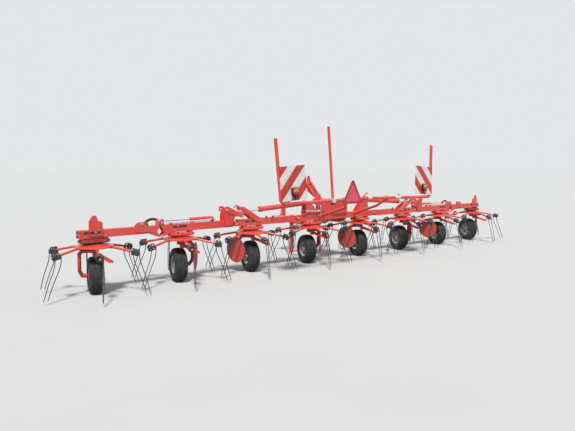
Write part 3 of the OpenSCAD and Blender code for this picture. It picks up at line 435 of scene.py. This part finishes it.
class Piece:
    """Collects meshes with their materials and makes one object of them."""

    def __init__(self, name, body, slot):
        self.name, self.body, self.slot = name, body, slot
        self.verts, self.faces, self.index, self.mats = [], [], [], []

    def add(self, verts, faces, mat):
        """Adds points, and faces in one material."""
        if mat not in self.mats:
            self.mats.append(mat)
        k = self.mats.index(mat)
        n = len(self.verts)
        self.verts.extend(Vector(v) for v in verts)
        self.faces.extend([tuple(a + n for a in f) for f in faces])
        self.index.extend([k] * len(faces))

    def take(self, b, mat, matrix):
        """Adds a bmesh and frees it."""
        b.verts.ensure_lookup_table()
        b.verts.index_update()
        self.add([matrix @ v.co for v in b.verts], [[v.index for v in f.verts] for f in b.faces], mat)
        b.free()

    def box(self, size, matrix, mat, bevel):
        """A box round the place matrix, with edges rounded by bevel."""
        b = bmesh.new()
        bmesh.ops.create_cube(b, size=1.0, matrix=Matrix.Diagonal((*size, 1)))
        bmesh.ops.bevel(b, geom=b.edges[:], offset=bevel, segments=2, profile=0.6, affect="EDGES")
        self.take(b, mat, matrix)

    def plate(self, outline, thickness, matrix, mat, bevel):
        """A flat plate whose outline is in local XY, with half of its thickness on either side of Z = 0."""
        b = bmesh.new()
        base = b.faces.new([b.verts.new((x, y, -thickness / 2)) for x, y in outline])
        grown = bmesh.ops.extrude_face_region(b, geom=[base])["geom"]
        top = [v for v in grown if isinstance(v, bmesh.types.BMVert)]
        bmesh.ops.translate(b, verts=top, vec=(0, 0, thickness))
        bmesh.ops.recalc_face_normals(b, faces=b.faces[:])
        bmesh.ops.bevel(b, geom=b.edges[:], offset=bevel, segments=1, affect="EDGES")
        self.take(b, mat, matrix)

    def lathe(self, profile, matrix, mat, steps=32):
        """A solid of revolution about local Z from a list of (radius, z); a radius of 0 closes it."""
        verts, rings = [], []
        for r, z in profile:
            ring = [(0, 0, z)] if r < 1e-6 else circle(r, z, steps)
            rings.append(list(range(len(verts), len(verts) + len(ring))))
            verts += ring
        faces = []
        for a, b in zip(rings, rings[1:]):
            for k in range(steps):
                k2 = (k + 1) % steps
                if len(a) == 1 and len(b) == 1:
                    continue
                if len(a) == 1:
                    faces.append((a[0], b[k], b[k2]))
                elif len(b) == 1:
                    faces.append((a[k2], a[k], b[0]))
                else:
                    faces.append((a[k], b[k], b[k2], a[k2]))
        self.add([matrix @ Vector(v) for v in verts], faces, mat)

    def tube(self, points, radius, mat, steps=10):
        """A round bar swept along points, closed at both ends. A list of radii tapers it."""
        pts = [Vector(p) for p in points]
        radii = radius if isinstance(radius, list) else [radius] * len(pts)
        verts, faces, up = [], [], None
        for i, p in enumerate(pts):
            d = (pts[min(i + 1, len(pts) - 1)] - pts[max(i - 1, 0)]).normalized()
            if up is None:
                up = d.orthogonal().normalized()
            up = (up - d * up.dot(d)).normalized()
            side = d.cross(up)
            for k in range(steps):
                a = 2 * math.pi * k / steps
                verts.append(p + radii[i] * (math.cos(a) * up + math.sin(a) * side))
        for i in range(len(pts) - 1):
            for k in range(steps):
                k2 = (k + 1) % steps
                faces.append((i * steps + k, i * steps + k2, (i + 1) * steps + k2, (i + 1) * steps + k))
        faces.append(tuple(reversed(range(steps))))
        faces.append(tuple(range((len(pts) - 1) * steps, len(pts) * steps)))
        self.add(verts, faces, mat)

    def bolt(self, at, axis, size, mat=STEEL, washer=True):
        """A hexagon head, size across its flats, that stands out along axis, on its washer."""
        m = along(at, Vector(axis).normalized())
        flat, head, thin = size / 2, size * 0.55, size * 0.14
        if washer:
            rim = [(0, 0), (flat * 1.25, 0), (flat * 1.25, size * 0.1), (flat * 1.15, thin), (0, thin)]
            self.lathe(rim, m, mat, 20)
        foot = thin if washer else 0
        corner = flat / math.cos(math.pi / 6)
        verts = circle(corner, foot, 6) + circle(corner, foot + head * 0.85, 6) + circle(flat * 0.9, foot + head, 6)
        faces = [(a + k, a + (k + 1) % 6, a + 6 + (k + 1) % 6, a + 6 + k) for a in (0, 6) for k in range(6)]
        self.add([m @ Vector(v) for v in verts], faces + [tuple(range(12, 18))], mat)

    def slab(self, points, y, thickness, mat, s=1, bevel=0.0015):
        """A plate in the XZ plane round that y, from points of the right wing mirrored to the side s."""
        upright = Matrix.Translation(row(0, y, 0)) @ Matrix.Rotation(math.pi / 2, 4, "X")
        self.plate([(s * x, z) for x, z in points], thickness, upright, mat, bevel)

    def pin(self, x, z, y0, y1, r, mat, s=1):
        """A round pin along Y with a small chamfer at its outer end y1."""
        quarter = math.pi / 2 if y1 < y0 else -math.pi / 2
        m = Matrix.Translation(row(s * x, y1, z)) @ Matrix.Rotation(quarter, 4, "X")
        depth = -abs(y1 - y0)
        self.lathe([(0, 0), (r - 0.0015, 0), (r, -0.0015), (r, depth), (0, depth)], m, mat, 24)

    def make(self, angle=40):
        """The object, smooth where its faces meet at less than that angle."""
        mesh = bpy.data.meshes.new(self.name)
        mesh.from_pydata([tuple(v) for v in self.verts], [], self.faces)
        for m in self.mats:
            mesh.materials.append(m)
        mesh.polygons.foreach_set("material_index", self.index)
        mesh.polygons.foreach_set("use_smooth", [True] * len(self.faces))
        mesh.set_sharp_from_angle(angle=math.radians(angle))
        mesh.update()
        o = bpy.data.objects.new(self.name, mesh)
        bpy.context.scene.collection.objects.link(o)
        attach(o, self.body)
        return o


def oblong(x0, x1, z0, z1):
    """The corners of an upright rectangle."""
    return [(x0, z0), (x1, z0), (x1, z1), (x0, z1)]


def stadium(length, width, steps=10):
    """An outline with two straight sides and two round ends."""
    r, h = width / 2, (length - width) / 2
    out = []
    for end, first in ((h, -math.pi / 2), (-h, math.pi / 2)):
        for k in range(steps + 1):
            a = first + math.pi * k / steps
            out.append((end + r * math.cos(a), r * math.sin(a)))
    return out


def arch(x0, x1, z0, rise, width, steps=14):
    """The outline of an arched flat bar from (x0, z0) over to (x1, z0)."""
    line = []
    for k in range(steps + 1):
        f = k / steps
        line.append(Vector((x0 + (x1 - x0) * f, z0 + rise * math.sin(math.pi * f))))
    top, low = [], []
    for k, v in enumerate(line):
        d = (line[min(k + 1, steps)] - line[max(k - 1, 0)]).normalized()
        n = Vector((-d.y, d.x)) * width / 2
        top.append(tuple(v + n))
        low.append(tuple(v - n))
    return top + low[::-1]


# ------------------------------------------------------------------ rotor gearboxes: flange, bolts and plugs
for i in range(8):
    g = Piece(f"gearbox_flange_{i + 1}", OWNER[i], "red_paint")
    base = row(ROTOR_X[i], 0, BOX_Z + 0.016)
    paint = WORN_RED if i in (0, 7) else RED
    g.plate(stadium(BOX_L + 0.026, BOX_W + 0.026), 0.009, Matrix.Translation(base), paint, 0.0015)
    for x, y in stadium(BOX_L + 0.013, BOX_W + 0.013, 4):
        g.bolt(base + Vector((x, y, 0.0045)), UP, 0.011)
    for x in (-0.075, 0.075):
        g.bolt(row(ROTOR_X[i] + x, -BOX_W / 2 + 0.022, BOX_Z + BOX_H), UP, 0.017, BLACK)
    g.make()

# ------------------------------------------------------------------ hinge pins' washers and split pins
for s, side in SIDES:
    joints = ((OUTER_X, OUTER_PIN_Z, {-1: "section_2", 1: "section_7"}[s], PIN_HALF, PIN_R),
              (MID_X, MID_PIN_Z, {-1: "section_3", 1: "section_6"}[s], PIN_HALF, PIN_R),
              (WING_X, WING_PIN_Z, "frame", PIN_HALF, PIN_R),
              (TOWER_X, TOWER_Z, "frame", TOWER_PIN_HALF, EYE_PIN_R))
    for x, z, body, half, r in joints:
        caps = Piece(f"pin_caps_{side}_{int(x * 1000)}", body, "rod_chrome")
        washer = [(0, 0.0045), (r * 0.8, 0.0045), (r + 0.0015, 0.003), (r + 0.0015, -0.001), (r * 0.6, -0.001)]
        for e in (-1, 1):
            at = row(s * x, e * half, z)
            caps.lathe(washer, Matrix.Translation(at) @ Matrix.Rotation(-e * math.pi / 2, 4, "X"), STEEL, 24)
            split = [at + Vector((u * (r + 0.008), -e * 0.004, 0.0)) for u in (-1, 1)]
            caps.tube(split, 0.0022, STEEL, 8)
        caps.make()

# ------------------------------------------------------------------ tines: sprung double tines with open coils
COIL_TURNS, COIL_STEPS, COIL_GAP = 2.75, 40, 0.006
OUT = Vector((math.cos(DROOP), 0, -math.sin(DROOP)))


def coil_and_tine(outer):
    """The centre line of one half of a double tine in its arm's place: x outward, y sideways, z up."""
    coil_r = ARM_TIP_R - 0.010 - COIL_L
    mean = COIL_D / 2 - WIRE / 2
    over = Vector((math.sin(DROOP), 0, math.cos(DROOP)))
    aside = Vector((0, 1, 0))
    middle = Vector((BEND_R, 0, ARM_Z - ARM_DROP)) + OUT * ((coil_r - BEND_R) / math.cos(DROOP) + COIL_L / 2)
    path = []
    for k in range(COIL_STEPS + 1):
        # the angle falls to a quarter turn, where the wire lies at +y and leaves downward
        f = k / COIL_STEPS
        a = math.pi / 2 + 2 * math.pi * COIL_TURNS * (1 - f)
        drift = (COIL_GAP + f * (COIL_L / 2 - COIL_GAP - WIRE / 2)) * (1 if outer else -1)
        path.append(middle + OUT * drift + over * (mean * math.cos(a)) + aside * (mean * math.sin(a)))
    root = path[-1]
    foot = Vector((TIP_R - (0 if outer else TIP_STEP), COIL_D / 2 - 0.030, TIP_Z + WIRE / 2))
    knee = Vector((root.x + 0.026, COIL_D / 2 - 0.008, root.z - 0.150))
    for start, end, steps, bow in ((root, knee, 5, -0.010), (knee, foot, 4, 0.006)):
        for k in range(1, steps + 1):
            path.append(start.lerp(end, k / steps) + Vector((bow * math.sin(math.pi * k / steps), 0, 0)))
    return path


HALVES = [coil_and_tine(False), coil_and_tine(True)]
WIRE_RADII = [WIRE / 2] * (len(HALVES[0]) - 1) + [WIRE / 2 * 0.8]
ARM_TIP = Vector((ARM_TIP_R, 0, ARM_Z - ARM_DROP - (ARM_TIP_R - BEND_R) * math.tan(DROOP)))
SPOOL = [(0.014, -0.062), (0.0155, -0.062), (0.0155, 0.0), (0.0225, 0.0), (0.0225, 0.004), (0, 0.004)]
for i in range(8):
    tines = Piece(f"sprung_tines_{i + 1}", f"rotor_{i + 1}", "tine_steel")
    for k in range(6):
        m = Matrix.Translation(row(ROTOR_X[i], 0, 0)) @ Matrix.Rotation(ARM_PHASE + k * math.pi / 3, 4, "Z")
        for half in HALVES:
            tines.tube([m @ v for v in half], WIRE_RADII, TINE, 8)
        tip = m @ ARM_TIP
        out = (m.to_3x3() @ OUT).normalized()
        tines.lathe(SPOOL, along(tip - out * 0.0105, out), CAST, 16)
        tines.bolt(tip - out * 0.0065, out, 0.019, washer=False)
    o = tines.make()
    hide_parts(f"tines_{i + 1}")

# ------------------------------------------------------------------ wheels: ribbed tyres, rim flanges, hubs and bolts
HALF = TYRE_W / 2
BEAD = RIM_R + 0.0003
# Half of the tread and sidewall: distance from the tyre's middle, height over the tread
RIBS = [(0.0, 0.0), (0.006, 0.0), (0.0072, -0.0085), (0.0128, -0.0085), (0.0140, -0.0006), (0.0270, -0.0012),
        (0.0282, -0.0090), (0.0338, -0.0090), (0.0350, -0.0022), (0.0470, -0.0050), (0.0484, -0.0118),
        (0.0540, -0.0125), (0.0555, -0.0075), (0.0640, -0.0140), (0.0705, -0.0240), (0.0745, -0.0340),
        (0.0752, -0.0365), (0.0775, -0.0372), (0.0795, -0.0440), (0.0810, -0.0560), (0.0795, -0.0680),
        (0.0740, -0.0800), (0.0735, -0.0820), (0.0690, -0.0880)]
LEFT_TREAD, RIGHT_TREAD = ([(WHEEL_R + dz, s * w) for w, dz in RIBS] for s in (-1, 1))
TYRE_PROFILE = [(BEAD, -HALF + 0.028), (BEAD + 0.004, -HALF + 0.014)] + LEFT_TREAD[::-1] + RIGHT_TREAD[1:] + \
    [(BEAD + 0.004, HALF - 0.014), (BEAD, HALF - 0.028)]
FLANGE = [(RIM_R - 0.0075, HALF - 0.0285), (RIM_R + 0.0035, HALF - 0.0275), (RIM_R + 0.0045, HALF - 0.0215),
          (RIM_R + 0.0010, HALF - 0.0165), (RIM_R - 0.0060, HALF - 0.0185), (RIM_R - 0.0100, HALF - 0.0270)]
HUB_RING = [(0.0265, HALF - 0.034), (0.0285, HALF - 0.034), (0.0285, HALF - 0.027), (0.0265, HALF - 0.0255)]
WHEEL_BOLTS, BOLT_CIRCLE = 5, 0.052
AXLE = Vector((math.cos(OBLIQUE), -math.sin(OBLIQUE), 0))

for i in range(8):
    # the wheel's own place has its Z along the axle, to the machine's right
    centre = turned(row(ROTOR_X[i], 0, 0), OBLIQUE) @ Vector((-SIDE[i] * WHEEL_SIDE, WHEEL_LEAD, WHEEL_R))
    m = along(centre, AXLE)
    tyre = Piece(f"ribbed_tyre_{i + 1}", f"wheel_{i + 1}", "tyre_rubber")
    tyre.lathe(TYRE_PROFILE, m, TYRE, 72)
    o = tyre.make(50)
    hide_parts(f"tyre_{i + 1}")
    hub = Piece(f"wheel_hub_{i + 1}", f"wheel_{i + 1}", "rim_paint")
    for flip, depth in ((math.pi, 0.0135), (0, 0.006)):
        f = m @ Matrix.Rotation(flip, 4, "X")
        hub.lathe(FLANGE, f, RIM, 48)
        for k in range(WHEEL_BOLTS):
            a = 2 * math.pi * k / WHEEL_BOLTS + 0.3
            at = Vector((BOLT_CIRCLE * math.cos(a), BOLT_CIRCLE * math.sin(a), depth))
            hub.bolt(f @ at, f.to_3x3() @ UP, 0.017)
    hub.lathe(HUB_RING, m, CAST, 28)
    valve = Vector((RIM_R - 0.024, 0, -SIDE[i] * 0.012))
    hub.tube([m @ valve, m @ (valve + Vector((-0.004, 0, -SIDE[i] * 0.030)))], 0.004, HOSE, 8)
    hub.make()

# ------------------------------------------------------------------ signs: lamps and the slow vehicle triangle
LAMP_EDGE = [(0.052, 0.024), (0.052, 0.034), (0.049, 0.037), (0.046, 0.034)]
LENS_RINGS, LENS_TOP, LENS_STEPS = [(0.046, 0.030), (0.045, 0.038), (0.038, 0.0415), (0.022, 0.0430)], 0.0432, 24
CABLE = [(0, -0.050, 0.008), (0, -0.068, 0.010), (0.002, -0.090, 0.014), (0.004, -0.104, 0.012)]


def lamp_place(s):
    """The middle of the lamp on the board of side s, with Z to the rear."""
    x = SIGN_X + s * (SIGN_HALF + 0.004 + LEAN_X * 0.1)
    post = row(x, -SIGN_Y - SIGN_D / 2 + 0.006, SIGN_Z - SIGN_SAG + SIGN_D / 2 + 0.006)
    outward = Matrix.Rotation(s * math.atan2(LEAN_X, POST_H), 4, "Y")
    forward = Matrix.Rotation(-math.atan2(LEAN_Y, POST_H), 4, "X")
    on_board = Matrix.Translation((s * (-SIGN_D / 2 - BOARD * 0.5 + 0.020), -0.0071, LAMP_Z))
    return Matrix.Translation(post) @ outward @ forward @ on_board @ Matrix.Rotation(math.pi / 2, 4, "X")


def half_lens(first):
    """Half of a domed lens from the angle first on: its points and faces."""
    verts = []
    for r, z in LENS_RINGS:
        for k in range(LENS_STEPS + 1):
            a = math.pi * k / LENS_STEPS + first
            verts.append((r * math.cos(a), r * math.sin(a), z))
    verts.append((0, 0, LENS_TOP))
    line = LENS_STEPS + 1
    faces = [(v, v + 1, v + line + 1, v + line) for j in range(len(LENS_RINGS) - 1)
             for v in range(j * line, j * line + LENS_STEPS)]
    last = (len(LENS_RINGS) - 1) * line
    return verts, faces + [(v, v + 1, len(verts) - 1) for v in range(last, last + LENS_STEPS)]


for s, side in SIDES:
    m = lamp_place(s)
    lamp = Piece(f"rear_lamp_{side}", "frame", "lamp_lens")
    lamp.box((0.108, 0.108, 0.026), m @ Matrix.Translation((0, 0, 0.014)), HOUSING, 0.010)
    lamp.lathe(LAMP_EDGE, m, HOUSING, 40)
    for first, mat in ((0, AMBER), (math.pi, LENS)):
        verts, faces = half_lens(first)
        lamp.add([m @ Vector(v) for v in verts], faces, mat)
    for x in (-0.044, 0.044):
        lamp.bolt(m @ Vector((x, 0.044, 0.0265)), m.to_3x3() @ UP, 0.008, washer=False)
    lamp.tube([m @ Vector(v) for v in CABLE], 0.0045, HOSE, 8)
    lamp.make()
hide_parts("lamps")

triangle = Piece("triangle_film", "frame", "sign_face")
corner = row(SIGN_X - TRIANGLE_X, -SIGN_Y - SIGN_D / 2 - 0.0023, SIGN_Z - 0.062)
flat = Matrix.Translation(corner) @ Matrix.Rotation(math.pi / 2, 4, "X")
half, top = TRIANGLE_W / 2, TRIANGLE_W * 0.866 - 0.004
edge = [(-half + 0.016, 0.0), (half - 0.016, 0.0), (half, 0.028), (0.020, top), (-0.020, top), (-half, 0.028)]
middle = Vector((0.0, TRIANGLE_W * 0.29))
film = [tuple(middle + (Vector(v) - middle) * 0.72) for v in edge]
triangle.plate(film, 0.0012, flat @ Matrix.Translation((0, 0, 0.0002)), PINK, 0.0003)
for x, z in ((-0.09, 0.05), (0.09, 0.05), (0.0, 0.21)):
    triangle.bolt(flat @ Vector((x, z, 0.0008)), flat.to_3x3() @ UP, 0.010, washer=False)
triangle.make()

# ------------------------------------------------------------------ small parts on the wings
LIFT_LEVER = [(2.040, 0.835), (2.036, 0.876), (2.012, 0.894), (1.975, 0.884), (1.742, 0.774), (1.740, 0.742),
              (1.772, 0.738), (2.000, 0.812)]
LIFT_STRUT = [(1.452, 0.668), (1.520, 0.664), (1.772, 0.836), (1.788, 0.868), (1.762, 0.884), (1.722, 0.872),
              (1.452, 0.712)]


def slot_shade_sheets(body, axis, s):
    """Black sheets as painted shade in the slots of a wing section's rear face, and the bolts there, by its rotor
    axis.
    """
    slots = Piece(f"painted_slot_shade_{body}", body, None)
    if axis == OUTER_ROTOR_X:
        slots.slab(oblong(axis - 0.055, axis + 0.070, 0.672, 0.699), REAR - 0.0178, 0.0016, BLACK, s)
        slots.slab(oblong(axis + 0.082, axis + 0.128, 0.672, 0.699), REAR - 0.0008, 0.0016, BLACK, s)
        slots.bolt(row(s * (axis + 0.004), REAR - 0.0186, 0.686), REARWARD, 0.017)
    else:
        slots.slab(oblong(axis - 0.055, axis + 0.130, 0.670, 0.697), REAR - 0.0008, 0.0016, BLACK, s)
        slots.bolt(row(s * (axis + 0.060), REAR - 0.0016, 0.684), REARWARD, 0.015)
    for x in (-0.110, 0.110):
        slots.bolt(row(s * axis + x, REAR - 0.0002, BEAM_BOTTOM + 0.016), REARWARD, 0.013)
    slots.make()


def fold_lever(side, body, s):
    """The black arched lever over the outer fold hinge, on its lug."""
    lever = Piece(f"fold_lever_{side}", body, None)
    lever.slab(arch(OUTER_X + 0.150, OUTER_X - 0.072, 0.728, 0.046, 0.030), 0.1035, 0.008, BLACK, s)
    lever.pin(OUTER_X + 0.146, 0.728, 0.040, 0.1105, 0.011, STEEL, s)
    lever.pin(FOLD_X, 0.746, 0.0995, 0.1120, 0.012, STEEL, s)
    lug = [(OUTER_X + 0.120, BEAM_TOP - 0.040), (OUTER_X + 0.190, BEAM_TOP - 0.040),
           (OUTER_X + 0.168, 0.746), (OUTER_X + 0.128, 0.746)]
    lever.slab(lug, 0.0505, 0.010, RED, s)
    for x, mat in ((0.186, BLACK), (0.246, STEEL)):
        lever.bolt(row(s * (OUTER_X + x), REAR - 0.0080, 0.742), REARWARD, 0.021, mat)
    lever.make()


def beam_pipe(side, body, s):
    """The bright pipe along the middle section's top, in two clamps."""
    pipe = Piece(f"beam_pipe_{side}", body, None)
    ends = row(s * (OUTER_X - 0.090), -0.026, BEAM_TOP + 0.0125), row(s * 2.150, -0.026, BEAM_TOP + 0.030)
    pipe.tube(ends, 0.010, CHROME, 12)
    for f in (0.06, 0.94):
        at = ends[0].lerp(ends[1], f)
        clamp_top = at.z + 0.0085
        place = Matrix.Translation((at.x, at.y, (clamp_top + BEAM_TOP) / 2))
        pipe.box((0.018, 0.024, clamp_top - BEAM_TOP), place, BLACK, 0.003)
    pipe.make()


def lift_lever(side, body, s):
    """The two levers beside the lift bracket, with their pins and a hose end."""
    lever = Piece(f"lift_lever_{side}", body, "red_paint")
    for e in (-1, 1):
        y = e * (BEAM_D / 2 + SIDE_GAP + PLATE_T + 0.0055)
        lever.slab(LIFT_LEVER, y, PLATE_T, RED, s, 0.002)
        lever.pin(2.010, 0.850, e * 0.0605, e * 0.0800, 0.013, WHITE, s)
        lever.pin(1.762, 0.757, y - e * 0.010, e * 0.0780, 0.012, WHITE, s)
    hose = [row(s * x, -0.0690, z) for x, z in ((1.905, 0.868), (1.880, 0.895), (1.852, 0.902), (1.836, 0.906))]
    lever.tube(hose[:3], 0.0065, BLACK, 10)
    lever.tube(hose[2:], 0.0085, WHITE, 10)
    lever.make()


def lift_strut(side, body, s):
    """The two struts up from the inner section, and two bolted lugs on its beam."""
    strut = Piece(f"lift_strut_{side}", body, "red_paint")
    for e in (-1, 1):
        strut.slab(LIFT_STRUT, e * (BEAM_D / 2 + 0.0053), 0.010, RED, s, 0.002)
        for x, z in ((1.478, 0.690), (1.752, 0.858)):
            strut.bolt(row(s * x, e * (BEAM_D / 2 + 0.0104), z), (0, e, 0), 0.018)
    for x in (1.255, 1.365):
        lug = [(x - 0.022, BEAM_TOP - 0.030), (x + 0.022, BEAM_TOP - 0.030),
               (x + 0.018, BEAM_TOP + 0.026), (x - 0.018, BEAM_TOP + 0.026)]
        strut.slab(lug, REAR - 0.0033, 0.006, RED, s)
        strut.bolt(row(s * x, REAR - 0.0064, BEAM_TOP + 0.008), REARWARD, 0.015, BLACK)
    strut.make()


for s, side in SIDES:
    outer, middle, inner = (f"section_{n}" for n in ((1, 2, 3) if s < 0 else (8, 7, 6)))
    for body, axis in ((outer, OUTER_ROTOR_X), (middle, PITCH * 2.5), (inner, PITCH * 1.5)):
        slot_shade_sheets(body, axis, s)
    fold_lever(side, outer, s)
    beam_pipe(side, middle, s)
    lift_lever(side, middle, s)
    lift_strut(side, inner, s)

# ------------------------------------------------------------------ small parts on the centre
SPINDLE_Y, SPINDLE_Z = -0.080, 0.770
spindle = Piece("side_spindle", "frame", "rod_chrome")
SPINDLE = ((-0.742, -0.700, 0.017, BLACK), (-0.700, -0.424, 0.0105, CHROME), (-0.424, -0.398, 0.015, STEEL))
for x0, x1, r, mat in SPINDLE:
    end = row(x1, SPINDLE_Y, SPINDLE_Z - (x1 + 0.742) * 0.03)
    spindle.tube([row(x0, SPINDLE_Y, SPINDLE_Z), end], r, mat, 16)
for k in range(9):
    ring = row(-0.690 + k * 0.0285, SPINDLE_Y, SPINDLE_Z - 0.001)
    spindle.tube([ring, ring + Vector((0.009, 0, 0))], 0.0130, STEEL, 16)
spindle.slab(oblong(-0.412, -0.397, 0.690, 0.834), -0.080, 0.032, STEEL)
spindle.slab(oblong(-0.742, -0.700, 0.752, 0.788), -0.0745, 0.026, RED)
spindle.slab(oblong(-0.440, -0.380, 0.680, 0.706), -0.0700, 0.050, RED)
spindle.make()


def bar_point(x, dx=0.0, dz=0.0):
    """A point on the middle line of the sign bar at that x, or dx and dz off it."""
    sag = SIGN_SAG * (abs(x - SIGN_X) - BAR_START) / (SIGN_HALF - BAR_START - BAR_END)
    return row(x, -SIGN_Y, SIGN_Z - sag) + Vector((dx, 0, dz))


bands = Piece("sign_bar_bands", "frame", None)
for x0, x1 in ((-0.095, -0.020), (0.500, 0.615)):
    inside, outside, length = SIGN_D / 2 + 0.0002, SIGN_D / 2 + 0.0010, x1 - x0
    band = [(inside, 0), (outside, 0.0006), (outside, length - 0.0006), (inside, length)]
    bands.lathe(band, along(bar_point(x0), bar_point(x1) - bar_point(x0)), WHITE, 32)
post_x = SIGN_X - 0.620
for x, z, w, h, mat in ((post_x, 0.0, 0.060, 0.056, WHITE), (post_x + 0.006, -0.040, 0.034, 0.026, BLACK)):
    bands.box((w, 0.060, h), Matrix.Translation(bar_point(x) + Vector((0, -0.002, z))), mat, 0.004)
bands.tube([bar_point(0.584, 0, 0.018), bar_point(0.584, 0, 0.046)], 0.007, BLACK, 12)
bands.tube([bar_point(0.584, 0, 0.046), bar_point(0.584, 0.016, 0.056)], 0.005, BLACK, 12)
curve = ((-0.030, 0.026), (0.010, 0.060), (0.052, 0.072))
bands.tube([bar_point(-0.150, dx, dz) for dx, dz in curve], 0.010, RED, 12)
bands.make()


# ------------------------------------------------------------------ camera, light and floor
# The camera was fitted to the photo: its place, its turn from +Y to the right, down and round its axis
CAMERA = (-5.950, -5.891, 1.452)
YAW, DOWN, ROLL = (math.radians(a) for a in (40.31, 5.433, 0.585))
FOCAL_PX, WIDTH_PX, SENSOR = 560.0, 575, 36.0

ahead = Vector((math.sin(YAW) * math.cos(DOWN), math.cos(YAW) * math.cos(DOWN), -math.sin(DOWN)))
level = Vector((math.cos(YAW), -math.sin(YAW), 0))
over = level.cross(ahead)
right = math.cos(ROLL) * level + math.sin(ROLL) * over
upright = -math.sin(ROLL) * level + math.cos(ROLL) * over
data = bpy.data.cameras.new("camera")
data.sensor_width = SENSOR
data.lens = FOCAL_PX * SENSOR / WIDTH_PX
data.clip_start = 0.05
data.clip_end = 200
camera = bpy.data.objects.new("camera", data)
bpy.context.scene.collection.objects.link(camera)
camera.matrix_world = Matrix.Translation(row(*CAMERA)) @ Matrix((right, upright, -ahead)).transposed().to_4x4()
bpy.context.scene.camera = camera


def seen_rays(t):
    """1 where the camera sees a surface, itself or in a mirror or through glass, and 0 where it only sheds light."""
    path = add_node(t, "ShaderNodeLightPath")
    seen = path.outputs["Is Camera Ray"]
    for kind in ("Is Glossy Ray", "Is Transmission Ray"):
        seen = maths(t, "MAXIMUM", seen, path.outputs[kind])
    return seen


def sun(name, place, strength, angle, colour):
    """A sun that shines from place towards the origin, angle degrees wide."""
    d = bpy.data.lights.new(name, "SUN")
    d.energy = strength
    d.angle = math.radians(angle)
    d.color = colour
    o = bpy.data.objects.new(name, d)
    bpy.context.scene.collection.objects.link(o)
    o.matrix_world = Matrix.Translation(place) @ (-Vector(place)).to_track_quat("-Z", "Y").to_matrix().to_4x4()


world = bpy.data.worlds.new("studio")
bpy.context.scene.world = world
world.use_nodes = True
wt = world.node_tree
light = wt.nodes["Background"]
light.inputs[0].default_value = (0.93, 0.96, 1.0, 1)
light.inputs[1].default_value = 0.27
pale = add_node(wt, "ShaderNodeBackground")
pale.inputs[0].default_value = (0.95, 0.97, 1.0, 1)
pale.inputs[1].default_value = 0.82
blend = add_node(wt, "ShaderNodeMixShader")
wt.links.new(seen_rays(wt), blend.inputs[0])
wt.links.new(light.outputs[0], blend.inputs[1])
wt.links.new(pale.outputs[0], blend.inputs[2])
wt.links.new(blend.outputs[0], wt.nodes["World Output"].inputs[0])
sun("key", (-4.0, -4.5, 8.0), 3.20, 9, (1.0, 0.99, 0.97))
sun("fill", (6.0, -4.0, 5.0), 0.25, 60, (0.95, 0.97, 1.0))

floor_mesh = bpy.data.meshes.new("floor")
floor_mesh.from_pydata([(-80, -80, 0), (80, -80, 0), (80, 80, 0), (-80, 80, 0)], [], [(0, 1, 2, 3)])
floor = bpy.data.objects.new("floor", floor_mesh)
bpy.context.scene.collection.objects.link(floor)
fm, ft, fb = nodes_of("floor")
pale_floor = mixed(ft, noise_mask(ft, 0.8, 0.3, 0.7), (0.69, 0.70, 0.695), (0.668, 0.678, 0.677))
ft.links.new(mixed(ft, seen_rays(ft), (0.20, 0.21, 0.19), pale_floor), fb.inputs["Base Color"])
fb.inputs["Roughness"].default_value = 0.9
floor_mesh.materials.append(fm)
bpy.context.scene.view_settings.view_transform = "Standard"
